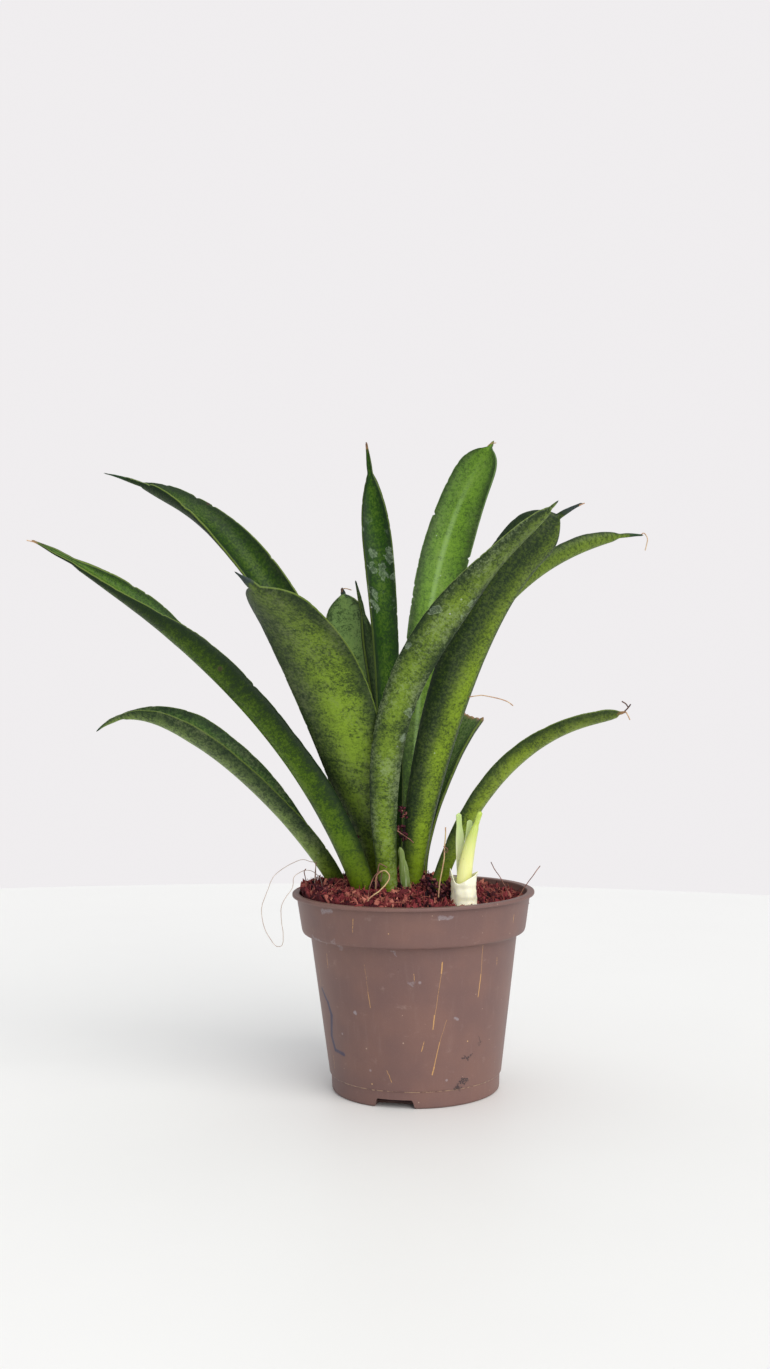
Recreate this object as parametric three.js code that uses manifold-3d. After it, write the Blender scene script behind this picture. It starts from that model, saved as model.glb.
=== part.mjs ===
/**
 * A small snake plant growing in a round plastic nursery pot.
 *
 * Millimetres, +Z up. The origin is the centre of the pot's flat underside, on the surface
 * that the pot stands on. -Y is the front of the plant and +X is its right.
 */
import * as THREE from "three";
import { mergeVertices } from "three/addons/utils/BufferGeometryUtils.js";
import Module from "manifold-3d";

const wasm = await Module();
wasm.setup();

// ---------------------------------------------------------------- driving dimensions

const ROUND_SEGMENTS = 48; // facets around everything that is turned about the pot's axis
const GAP = 0.3; // clearance between pieces that touch

// The pot, from the surface it stands on upwards.
const POT_HEIGHT = 73;
const WALL = 1.2;
const FLOOR = 1.6;
const FOOT = { radius: 31.1, height: 6, step: 0.5, corner: 0.9, draft: 0.2 };
const BODY = { bottomRadius: 31.9, topRadius: 38.4 };
const BAND = { bottomRadius: 41.6, topRadius: 43.4, height: 14, shoulder: 1.8 };
const LIP = { radius: 45, height: 1.3, corner: 0.35 };
const SHOULDER_STEPS = 3; // pieces in the rounded step under the band
const INNER_CHAMFER = 0.2; // on the rim's inner edge

// The drain slots, cut through the foot where the wall meets the floor.
const SLOT = { count: 3, width: 15, topWidth: 13.4, height: 3.2, depth: 9, firstAngle: -15.4, corner: 0.5 };
const SLOT_OVERRUN = { below: 1, outside: 2 }; // how far a slot's cut runs past the foot

// The potting mix, heaped a little to the left of the plant's middle.
const SOIL = { edgeHeight: 71.2, slope: -0.045, heap: 8.2, heapSpread: 19, heapX: -7, heapY: -2 };
const SOIL_RINGS = [39.5, 35, 29, 23, 17, 11, 5];
const LUMP = 0.5;
const SOIL_INSET = WALL + GAP + 0.1; // from the pot's outer face to the mix
const SOCKET_TOP = 18; // how far a leaf's socket runs up past its root

// Every leaf is a tapered channel swept along a cubic Bezier curve.
const LEAF_THICKNESS = 2.2;
const LEAF_EDGE_RATIO = 0.3; // edge thickness over mid thickness
const LEAF_STATIONS = 20; // sections along a leaf
const LEAF_POINTS = 6; // points across each face of a section
const SPIKE_HALF_WIDTH = { start: 1.1, end: 0.44 }; // along the pointed tip
const CHANNEL_SINK = 0.4; // how much of the channel's depth lies behind the curve
const MOST_THICKNESS = 0.9; // of the half width, where a leaf is narrow
const CURL_EASE = { rootEnd: 0.35, tipStart: 0.7 }; // where the middle curl starts and ends
const FACING_EASE = { rootEnd: 0.5, tipStart: 0.5 };
const LENGTH_STEPS = 40; // chords in the measured length of a curve

// path: the four Bezier points. facing: where the inner face looks at root, middle and tip.
// halfWidth: half the width across the unrolled leaf at its widest, which is at the fraction
// widest of its length. base: root width over widest. curl: half the angle that the channel
// wraps at root, middle and tip, in degrees. spike: length of the pointed tip, which starts
// spikeHalf wide to each side. blunt: how long the leaf keeps its width before the tip.
// cut: the tip was cut straight off.
const LEAVES = {
  leaf_low_left: {
    path: [[-26, 4, 70], [-38, 2, 98], [-90, -9, 160], [-115, -12, 134]],
    facing: [[0.9, 0.3, 0.4], [0.7, -0.1, 0.7], [-0.7, -0.15, 0.7]],
    halfWidth: 13.6, base: 0.45, widest: 0.68, curl: [80, 72, 88], spike: 8, blunt: 1.4,
    spikeHalf: 1.8,
  },
  leaf_long_left: {
    path: [[-16, -18, 67], [-30, -24, 123], [-79, -26, 176], [-133.5, -30, 202.5]],
    facing: [[0.4, 0.9, 0.2], [0.7, 0.4, 0.6], [0.3, -0.8, 0.5]],
    halfWidth: 10.4, base: 0.47, widest: 0.66, curl: [80, 85, 105], spike: 11, blunt: 1.4,
    spikeHalf: 1.5,
  },
  leaf_upper_left: {
    path: [[-15, 5, 69], [-19, 6, 127], [-43, 12, 216], [-116, 15, 232]],
    facing: [[0.8, -0.6, 0.1], [0.1, -1, 0.1], [0.2, -0.1, 1]],
    halfWidth: 8.2, base: 0.48, widest: 0.85, curl: [70, 60, 78], spike: 14, blunt: 2.5,
    spikeHalf: 1.9,
  },
  leaf_wide_front: {
    path: [[-11, -8, 70], [-20, -15, 112], [-23, -41, 163], [-58, -71, 187.5]],
    facing: [[0.5, 0.85, 0.3], [0.25, 0.85, 0.5], [0.4, 0.25, 0.9]],
    halfWidth: 15.4, base: 0.34, widest: 0.8, curl: [60, 18, 34], spike: 9, blunt: 4.6,
    spikeHalf: 2.6,
  },
  leaf_front_middle: {
    path: [[-8.5, -19, 68], [-14, -35, 133.5], [-12.5, -46, 157.5], [50, -52, 211.5]],
    facing: [[0, 1, 0.2], [0.1, 1, 0.2], [-0.6, 0.2, 0.75]],
    halfWidth: 6.9, base: 0.47, widest: 0.8, curl: [70, 25, 50], spike: 3, blunt: 6,
  },
  leaf_front_right: {
    path: [[-1, -12, 68], [1, -22, 112], [20, -30, 197], [60, -38, 212]],
    facing: [[-0.35, 0.9, 0.2], [-0.1, 1, 0.2], [-0.1, 0.95, 0.3]],
    halfWidth: 10.6, base: 0.33, widest: 0.84, curl: [70, 65, 40], spike: 9, blunt: 3.2,
  },
  leaf_centre_spear: {
    path: [[-7.5, 8, 68], [-8, 13, 127], [-8.5, 16, 184], [-15.5, 18, 243]],
    facing: [[0, -1, 0.1], [0.5, -0.85, 0.1], [-0.3, -0.95, 0]],
    halfWidth: 6.2, base: 0.66, widest: 0.74, curl: [75, 42, 50], spike: 10, blunt: 3,
  },
  leaf_tall_right: {
    path: [[-2, 15, 69], [4.5, 22, 128], [1.5, 43, 192], [36, 50, 248]],
    facing: [[0, -1, 0.1], [0.35, -0.9, 0.15], [-0.4, -0.8, 0.4]],
    halfWidth: 10.1, base: 0.38, widest: 0.8, curl: [70, 20, 40], spike: 3, blunt: 8,
  },
  leaf_right_upper: {
    path: [[0, 1, 69], [-11, 1, 123.5], [32, 14, 209], [92, 26, 206.5]],
    facing: [[-1, 0, 0], [-0.85, 0, 0.5], [-0.1, 0.6, 0.8]],
    halfWidth: 6.4, base: 0.62, widest: 0.67, curl: [80, 95, 105], spike: 8, blunt: 5,
  },
  leaf_low_right: {
    path: [[6, -15, 68], [18, -15, 105], [36, -20, 134.5], [76, -26, 139]],
    facing: [[-0.8, 0.5, 0.35], [-0.55, 0.6, 0.6], [-0.1, 0.1, 1]],
    halfWidth: 6.4, base: 0.66, widest: 0.82, curl: [80, 48, 62], spike: 2, blunt: 6,
  },
  leaf_short_back: {
    path: [[-12, 20, 71], [-16, 27, 109], [-20, 33, 147], [-26, 37, 188]],
    facing: [[0, -1, 0.2], [-0.1, -1, 0.1], [-0.4, -0.9, 0]],
    halfWidth: 9.4, base: 0.45, widest: 0.82, curl: [70, 30, 30], spike: 2, blunt: 4.5,
  },
  leaf_narrow_back: {
    path: [[-10, 14, 71], [-6, 20, 113], [-12, 25, 152], [-20.5, 27, 190.5]],
    facing: [[0.35, -0.95, 0.1], [0.5, -0.8, 0.15], [0.5, -0.8, 0.2]],
    halfWidth: 5, base: 0.6, widest: 0.6, curl: [75, 62, 58], spike: 11, blunt: 3,
  },
  leaf_cut_back: {
    path: [[3, 19, 71], [0, 23, 92], [11, 28, 118.5], [26, 34.5, 136.5]],
    facing: [[-0.5, -0.85, 0.1], [-0.45, -0.8, 0.35], [-0.55, -0.5, 0.67]],
    halfWidth: 8, base: 0.56, widest: 0.83, curl: [80, 58, 45], spike: 2, blunt: 4, cut: true,
  },
};

// A papery base sheath left standing between the two front leaves.
const BASE_SHEATH = {
  path: [[-2.6, -20.5, 70], [-2.7, -20.6, 76], [-3.6, -20.6, 85], [-4.9, -20.3, 91.5]],
  facing: [[0, 1, 0], [0, 1, 0], [0, 1, 0]],
  halfWidth: 1.8, base: 0.7, widest: 0.5, curl: [25, 25, 25], spike: 2, blunt: 2.5,
  thickness: 0.9,
};

// The young shoot at the front right: a white cup of sheath, with the rolled leaf inside it.
const PUP = { x: 17.4, y: -29, bottom: 66 };
const PUP_CUP = {
  outer: [[66, 4.1], [70, 4.8], [74, 4.6], [78.5, 4.4], [83, 4.8]], // [height, radius]
  wall: 0.7,
  rimDip: 2,
  floor: 2,
};
const PUP_SHOOT = {
  path: [[0, -0.2, 2.5], [0, -0.2, 16], [1.6, -0.6, 26], [6.3, -1, 38.8]],
  facing: [[-0.6, 1, 0], [-0.6, 1, 0], [-0.6, 1, 0.2]],
  halfWidth: 3.9, base: 0.85, widest: 0.3, curl: [88, 88, 75], spike: 1, blunt: 2,
  thickness: 1.4,
};
const PUP_LEAFLETS = {
  pup_leaflet_left: {
    path: [[-0.6, 2.2, 4], [-0.9, 2.5, 14], [-0.8, 2.9, 26], [-1.4, 2.6, 38]],
    facing: [[0.4, -1, 0], [0.4, -1, 0], [0.4, -1, 0]],
    halfWidth: 1.8, base: 0.6, widest: 0.6, curl: [30, 30, 40], spike: 0.8, blunt: 2.6,
    thickness: 0.7,
  },
  pup_leaflet_middle: {
    path: [[0, 0.6, 5], [-0.4, 0.6, 16], [1.6, 1.7, 26], [2.6, 2, 35.5]],
    facing: [[0.4, -1, 0], [0.4, -1, 0], [0.4, -1, 0]],
    halfWidth: 0.9, base: 0.7, widest: 0.6, curl: [20, 20, 20], spike: 0.5, blunt: 2.6,
    thickness: 0.6,
  },
};

// ---------------------------------------------------------------- solids and meshes

// A closed geometry as a solid that can be joined and cut.
function solidOf(geometry) {
  const bare = geometry.index ? geometry.toNonIndexed() : geometry.clone();
  bare.deleteAttribute("normal");
  bare.deleteAttribute("uv");
  const merged = mergeVertices(bare, 1e-3);
  return new wasm.Manifold(
    new wasm.Mesh({
      numProp: 3,
      vertProperties: merged.attributes.position.array,
      triVerts: new Uint32Array(merged.index.array),
    }),
  );
}

// A solid's surface as a geometry.
function geometryOf(solid) {
  const { numProp, vertProperties, triVerts } = solid.getMesh();
  const count = vertProperties.length / numProp;
  const positions = new Float32Array(count * 3);
  for (let i = 0; i < count; i++) {
    positions.set(vertProperties.subarray(i * numProp, i * numProp + 3), i * 3);
  }
  const geometry = new THREE.BufferGeometry();
  geometry.setAttribute("position", new THREE.BufferAttribute(positions, 3));
  geometry.setIndex(new THREE.BufferAttribute(new Uint32Array(triVerts), 1));
  return geometry;
}

function material(color, roughness) {
  return new THREE.MeshStandardMaterial({ color, roughness, metalness: 0 });
}

function namedMesh(name, geometry, finish) {
  geometry.computeVertexNormals();
  const mesh = new THREE.Mesh(geometry, finish);
  mesh.name = name;
  return mesh;
}

// A profile of [radius, height] points turned about the pot's axis.
function turned(profile) {
  const points = profile.map(([radius, height]) => new THREE.Vector2(radius, height));
  return new THREE.LatheGeometry(points, ROUND_SEGMENTS).rotateX(Math.PI / 2);
}

const smooth = THREE.MathUtils.smoothstep;
const clamp01 = (x) => THREE.MathUtils.clamp(x, 0, 1);

// ---------------------------------------------------------------- pot

const LIP_BOTTOM = POT_HEIGHT - LIP.height;
const BAND_BOTTOM = LIP_BOTTOM - BAND.height;

// The wall's outer radius at a height on the plain, tapered part of the body.
function bodyRadius(height) {
  const fraction = (height - FOOT.height) / (BAND_BOTTOM - FOOT.height);
  return THREE.MathUtils.lerp(BODY.bottomRadius, BODY.topRadius, fraction);
}

// The rounded step from under the band out to its face.
function bandShoulder() {
  const { bottomRadius, shoulder } = BAND;
  return Array.from({ length: SHOULDER_STEPS }, (_, i) => {
    const turn = ((i + 1) / SHOULDER_STEPS) * (Math.PI / 2);
    const radius = bottomRadius - shoulder * (1 - Math.sin(turn));
    return [radius, BAND_BOTTOM + shoulder * (1 - Math.cos(turn))];
  });
}

function potGeometry() {
  const { radius, height, step, corner, draft } = FOOT;
  const outside = [
    [0, 0],
    [radius - corner, 0],
    [radius, corner],
    [radius + draft, height],
    [bodyRadius(height + step), height + step],
    [bodyRadius(BAND_BOTTOM), BAND_BOTTOM],
    ...bandShoulder(),
    [BAND.topRadius, LIP_BOTTOM],
    [LIP.radius - LIP.corner, LIP_BOTTOM],
    [LIP.radius, LIP_BOTTOM + LIP.corner],
    [LIP.radius, POT_HEIGHT - LIP.corner],
    [LIP.radius - LIP.corner, POT_HEIGHT],
  ];
  const inside = [
    [BAND.topRadius - WALL + INNER_CHAMFER, POT_HEIGHT],
    [BAND.topRadius - WALL, LIP_BOTTOM],
    [BAND.bottomRadius - WALL, BAND_BOTTOM + BAND.shoulder + WALL],
    [bodyRadius(BAND_BOTTOM) - WALL, BAND_BOTTOM + WALL],
    [bodyRadius(height) - WALL, height],
    [radius - WALL - corner, FLOOR],
    [0, FLOOR],
  ];
  let pot = solidOf(turned([...outside, ...inside]));
  for (let i = 0; i < SLOT.count; i++) {
    pot = pot.subtract(solidOf(slotGeometry(SLOT.firstAngle + (i * 360) / SLOT.count)));
  }
  return geometryOf(pot);
}

// One drain slot's space, with slanted ends, reaching in from outside the foot.
function slotGeometry(angle) {
  const { width, topWidth, height, depth, corner } = SLOT;
  const half = width / 2;
  const topHalf = topWidth / 2;
  const outline = new THREE.Shape([
    new THREE.Vector2(-half, -SLOT_OVERRUN.below),
    new THREE.Vector2(half, -SLOT_OVERRUN.below),
    new THREE.Vector2(half, 0),
    new THREE.Vector2(topHalf, height - corner),
    new THREE.Vector2(topHalf - corner, height),
    new THREE.Vector2(corner - topHalf, height),
    new THREE.Vector2(-topHalf, height - corner),
    new THREE.Vector2(-half, 0),
  ]);
  const space = new THREE.ExtrudeGeometry(outline, { depth, bevelEnabled: false });
  return space
    .rotateX(Math.PI / 2)
    .translate(0, depth - FOOT.radius - SLOT_OVERRUN.outside, 0)
    .rotateZ(THREE.MathUtils.degToRad(angle));
}

// ---------------------------------------------------------------- leaves

// The unrolled half width at the fraction s of a leaf's length.
function halfWidthAt(leaf, s, length) {
  const { halfWidth, base, widest, blunt, spike, cut } = leaf;
  const { start, end } = SPIKE_HALF_WIDTH;
  const rise = 1 - (1 - base) * (1 - clamp01(s / widest)) ** 2;
  if (cut) return halfWidth * rise;
  const shoulder = 1 - spike / length;
  const fall = 1 - clamp01((s - widest) / (shoulder - widest)) ** blunt;
  const spikeWidth = THREE.MathUtils.lerp(leaf.spikeHalf ?? start, end, smooth(s, shoulder, 1));
  return Math.max(halfWidth * (s < widest ? rise : fall), spikeWidth);
}

// A value given at root, middle and tip, eased between them.
function blend3([root, middle, tip], s, { rootEnd, tipStart }) {
  return root + (middle - root) * smooth(s, 0, rootEnd) + (tip - middle) * smooth(s, tipStart, 1);
}

// The section's closed ring of points at the parameter t: the inner face, then the outer.
function leafSection(leaf, curve, t, s, length, swell) {
  const centre = curve.getPoint(t);
  const tangent = curve.getTangent(t);
  const looks = leaf.facing.map((v) => new THREE.Vector3(...v).normalize());
  const axisValue = (axis) => blend3(looks.map((v) => v[axis]), s, FACING_EASE);
  const inward = new THREE.Vector3(axisValue("x"), axisValue("y"), axisValue("z"));
  inward.addScaledVector(tangent, -inward.dot(tangent)).normalize();
  const across = new THREE.Vector3().crossVectors(tangent, inward);

  const half = halfWidthAt(leaf, s, length) + swell;
  const curl = THREE.MathUtils.degToRad(blend3(leaf.curl, s, CURL_EASE));
  const radius = half / curl;
  const sink = CHANNEL_SINK * radius * (1 - Math.cos(curl));
  const middle = Math.min(leaf.thickness ?? LEAF_THICKNESS, half * MOST_THICKNESS);
  const ring = { inner: [], outer: [] };
  for (let j = 0; j < LEAF_POINTS; j++) {
    const v = (2 * j) / (LEAF_POINTS - 1) - 1;
    const angle = curl * v;
    const flank = LEAF_EDGE_RATIO + (1 - LEAF_EDGE_RATIO) * Math.sqrt(Math.max(0, 1 - v * v));
    const depth = middle * flank * 0.5 + swell;
    const place = (offset) =>
      centre
        .clone()
        .addScaledVector(across, (radius - offset) * Math.sin(angle))
        .addScaledVector(inward, radius - sink - (radius - offset) * Math.cos(angle));
    ring.inner.push(place(depth));
    ring.outer.push(place(-depth));
  }
  return [...ring.inner, ...ring.outer.reverse()];
}

/**
 * A leaf as one closed surface. With a swell it is the leaf's socket in the potting mix:
 * the lowest stretch only, made bigger all round by that much.
 */
function leafGeometry(leaf, swell = 0) {
  const curve = new THREE.CubicBezierCurve3(...leaf.path.map((p) => new THREE.Vector3(...p)));
  const length = curve.getLength();
  const rings = [];
  for (let i = 0; i < LEAF_STATIONS; i++) {
    const t = i / (LEAF_STATIONS - 1);
    const s = t === 0 ? 0 : lengthUpTo(curve, t) / length;
    rings.push(leafSection(leaf, curve, t, s, length, swell));
    if (swell > 0 && s * length > SOCKET_TOP) break;
  }
  if (swell > 0) {
    const back = curve.getTangent(0).multiplyScalar(-swell);
    rings[0].forEach((p) => p.add(back));
  }
  return skin(rings);
}

// The length of a curve from its start to the parameter t.
function lengthUpTo(curve, t) {
  let total = 0;
  let last = curve.getPoint(0);
  for (let i = 1; i <= LENGTH_STEPS; i++) {
    const point = curve.getPoint((t * i) / LENGTH_STEPS);
    total += point.distanceTo(last);
    last = point;
  }
  return total;
}

// Joins rings of an equal, even count of points into a closed surface with flat ends.
function skin(rings) {
  const count = rings[0].length;
  const positions = rings.flat().flatMap((p) => [p.x, p.y, p.z]);
  const index = [];
  const quad = (a, b, c, d) => index.push(a, b, c, a, c, d);
  for (let i = 0; i + 1 < rings.length; i++) {
    for (let j = 0; j < count; j++) {
      const next = (j + 1) % count;
      quad(i * count + j, i * count + next, (i + 1) * count + next, (i + 1) * count + j);
    }
  }
  const last = (rings.length - 1) * count;
  for (let j = 0; j + 1 < count / 2; j++) {
    const mate = count - 1 - j;
    quad(j, mate, mate - 1, j + 1);
    quad(last + j, last + j + 1, last + mate - 1, last + mate);
  }
  const geometry = new THREE.BufferGeometry();
  geometry.setAttribute("position", new THREE.Float32BufferAttribute(positions, 3));
  geometry.setIndex(index);
  return geometry;
}

// ---------------------------------------------------------------- young shoot

// The same leaf description, moved from the shoot's own corner to its place in the pot.
function atPup(leaf) {
  const path = leaf.path.map(([x, y, z]) => [x + PUP.x, y + PUP.y, z + PUP.bottom]);
  return { ...leaf, path };
}

// The white cup, open at the top, its rim dipping at the front and the back.
function pupCupGeometry() {
  const { outer, wall, rimDip, floor } = PUP_CUP;
  const rise = outer.map(([height, radius]) => [radius, height]);
  const hollow = outer.slice(1).reverse().map(([height, radius]) => [radius - wall, height]);
  const bottom = PUP.bottom + floor;
  const profile = [[0, PUP.bottom], ...rise, ...hollow, [rise[0][0] - wall, bottom], [0, bottom]];
  const cup = turned(profile);
  const spot = cup.attributes.position;
  const top = outer.at(-1)[0];
  const dipStart = outer.at(-2)[0];
  for (let i = 0; i < spot.count; i++) {
    const across = spot.getX(i) / Math.max(1, Math.hypot(spot.getX(i), spot.getY(i)));
    const dip = rimDip * (1 - across * across) * smooth(spot.getZ(i), dipStart, top);
    spot.setZ(i, spot.getZ(i) - dip);
  }
  return cup.translate(PUP.x, PUP.y, 0);
}

// ---------------------------------------------------------------- potting mix

// The height of the mix's surface above the standing plane.
function soilHeight(x, y) {
  const { edgeHeight, slope, heap, heapSpread, heapX, heapY } = SOIL;
  const away = ((x - heapX) ** 2 + (y - heapY) ** 2) / (2 * heapSpread ** 2);
  const lumps = Math.sin(x * 0.55 + 1) * Math.cos(y * 0.6) + Math.sin(x * 0.23 - y * 0.31);
  return edgeHeight + slope * x + heap * Math.exp(-away) + LUMP * lumps;
}

function soilGeometry(sockets) {
  const { radius, height, corner } = FOOT;
  const side = [
    [0, FLOOR + GAP],
    [radius - SOIL_INSET - corner, FLOOR + GAP],
    [bodyRadius(height) - SOIL_INSET, height + GAP],
    [bodyRadius(BAND_BOTTOM) - SOIL_INSET, BAND_BOTTOM + WALL + 2 * GAP],
    [BAND.bottomRadius - SOIL_INSET, BAND_BOTTOM + BAND.shoulder + WALL + 3 * GAP],
  ];
  const topRadius = BAND.topRadius - SOIL_INSET - GAP;
  const surface = [topRadius, ...SOIL_RINGS, 0].map((r) => [r, LIP_BOTTOM]);
  const mix = turned([...side, ...surface]);
  const spot = mix.attributes.position;
  for (let i = 0; i < spot.count; i++) {
    if (spot.getZ(i) > LIP_BOTTOM - 0.01) {
      spot.setZ(i, soilHeight(spot.getX(i), spot.getY(i)));
    }
  }
  return geometryOf(sockets.reduce((soil, hole) => soil.subtract(solidOf(hole)), solidOf(mix)));
}

// The space that the young shoot's cup takes up in the mix.
function pupSocket() {
  const radius = Math.max(...PUP_CUP.outer.map(([, r]) => r)) + GAP;
  const depth = 2 * SOCKET_TOP;
  return new THREE.CylinderGeometry(radius, radius, depth, ROUND_SEGMENTS / 2)
    .rotateX(Math.PI / 2)
    .translate(PUP.x, PUP.y, PUP.bottom - GAP + depth / 2);
}

// ---------------------------------------------------------------- the potted plant

const FINISH = {
  pot: material(0x8c6f67, 0.55),
  soil: material(0x5a2f2a, 0.95),
  leaf: material(0x3f6b26, 0.42),
  sheath: material(0xa9b877, 0.6),
  pupSheath: material(0xe9e6c9, 0.45),
  pupShoot: material(0xc3cf6a, 0.42),
};

const plant = new THREE.Group();
plant.name = "potted_snake_plant";
plant.add(namedMesh("pot", potGeometry(), FINISH.pot));

const foliage = new THREE.Group();
for (const [name, leaf] of Object.entries(LEAVES)) {
  foliage.add(namedMesh(name, leafGeometry(leaf), FINISH.leaf));
}
foliage.add(namedMesh("base_sheath", leafGeometry(BASE_SHEATH), FINISH.sheath));
plant.add(foliage);

const pup = new THREE.Group();
pup.add(namedMesh("pup_sheath", pupCupGeometry(), FINISH.pupSheath));
pup.add(namedMesh("pup_shoot", leafGeometry(atPup(PUP_SHOOT)), FINISH.pupShoot));
for (const [name, leaflet] of Object.entries(PUP_LEAFLETS)) {
  pup.add(namedMesh(name, leafGeometry(atPup(leaflet)), FINISH.pupShoot));
}
plant.add(pup);

const sockets = [...Object.values(LEAVES), BASE_SHEATH].map((leaf) => leafGeometry(leaf, GAP));
plant.add(namedMesh("soil", soilGeometry([...sockets, pupSocket()]), FINISH.soil));

export default plant;
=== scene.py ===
"""A small snake plant in a round plastic nursery pot, dressed for rendering.

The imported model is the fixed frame: +Z up, the origin under the middle of the pot, -Y the
front of the plant and +X its right. Lengths are metres, and values named in millimetres are
turned into metres with MM.
"""

import logging
import math
import random
from collections.abc import Sequence
from dataclasses import dataclass, field, fields, replace
from enum import Enum
from functools import cache

import bmesh
import bpy
from bpy.types import Material, Mesh, Node, NodeInputs, NodeSocket, NodeTree, Object
from mathutils import Matrix, Vector, noise


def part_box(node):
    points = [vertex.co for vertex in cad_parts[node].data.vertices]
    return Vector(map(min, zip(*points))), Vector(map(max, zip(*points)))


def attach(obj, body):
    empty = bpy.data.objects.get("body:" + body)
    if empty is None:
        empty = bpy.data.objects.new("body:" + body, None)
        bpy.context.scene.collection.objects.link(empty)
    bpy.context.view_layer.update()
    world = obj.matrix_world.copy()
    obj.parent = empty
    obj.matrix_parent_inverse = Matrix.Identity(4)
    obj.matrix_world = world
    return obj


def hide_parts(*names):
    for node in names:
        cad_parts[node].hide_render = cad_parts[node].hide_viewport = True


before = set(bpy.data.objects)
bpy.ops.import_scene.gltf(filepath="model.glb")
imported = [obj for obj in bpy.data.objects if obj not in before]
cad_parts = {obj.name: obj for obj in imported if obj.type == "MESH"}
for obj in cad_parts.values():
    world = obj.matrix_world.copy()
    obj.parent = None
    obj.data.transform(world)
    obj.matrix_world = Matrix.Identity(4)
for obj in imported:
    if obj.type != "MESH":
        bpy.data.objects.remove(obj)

LOG = logging.getLogger("potted_snake_plant")
MM = 0.001

Point = tuple[float, float, float]
Colour = tuple[float, float, float]


# ---- node graphs


class Wire:
    """One output of a node. Arithmetic on it adds maths nodes to the same tree."""

    def __init__(self, graph: "Graph", socket: NodeSocket) -> None:
        """Holds the socket and the graph that it belongs to."""
        self.graph = graph
        self.socket = socket

    def _with(self, operation: str, first: "Value", second: "Value") -> "Wire":
        """Adds the maths node that suits the two values.

        Args:
            operation: The maths node's operation, such as ADD.
            first: The first operand.
            second: The second operand.

        Returns:
            The result of the operation.
        """
        shapes = [is_vector(first), is_vector(second)]
        if not any(shapes):
            return self.graph.math(operation, first, second)
        if all(shapes):
            return self.graph.vector(operation, first, second)
        arrow, size = (first, second) if shapes[0] else (second, first)
        return self.graph.wire("ShaderNodeVectorMath", {0: arrow, 3: size}, operation="SCALE")

    def __add__(self, other: "Value") -> "Wire":
        """Adds."""
        return self._with("ADD", self, other)

    def __radd__(self, other: "Value") -> "Wire":
        """Adds."""
        return self._with("ADD", other, self)

    def __sub__(self, other: "Value") -> "Wire":
        """Subtracts."""
        return self._with("SUBTRACT", self, other)

    def __rsub__(self, other: "Value") -> "Wire":
        """Subtracts from a plain value."""
        return self._with("SUBTRACT", other, self)

    def __mul__(self, other: "Value") -> "Wire":
        """Multiplies, or scales a vector."""
        return self._with("MULTIPLY", self, other)

    def __rmul__(self, other: "Value") -> "Wire":
        """Multiplies, or scales a vector."""
        return self._with("MULTIPLY", other, self)

    def __truediv__(self, other: "Value") -> "Wire":
        """Divides."""
        return self._with("DIVIDE", self, other)

    def __rtruediv__(self, other: "Value") -> "Wire":
        """Divides a plain value by this one."""
        return self._with("DIVIDE", other, self)

    def __pow__(self, other: "Value") -> "Wire":
        """Raises to a power."""
        return self._with("POWER", self, other)

    def __abs__(self) -> "Wire":
        """Returns the size without the sign."""
        return self.graph.math("ABSOLUTE", self)


Value = Wire | float | int | bool | str | tuple[float, ...]


def is_vector(value: Value) -> bool:
    """Says whether a value is a vector, wired or plain.

    Args:
        value: The value.

    Returns:
        True for a vector or a colour.
    """
    if isinstance(value, Wire):
        return value.socket.type in ("VECTOR", "RGBA")
    return isinstance(value, tuple)


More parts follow.
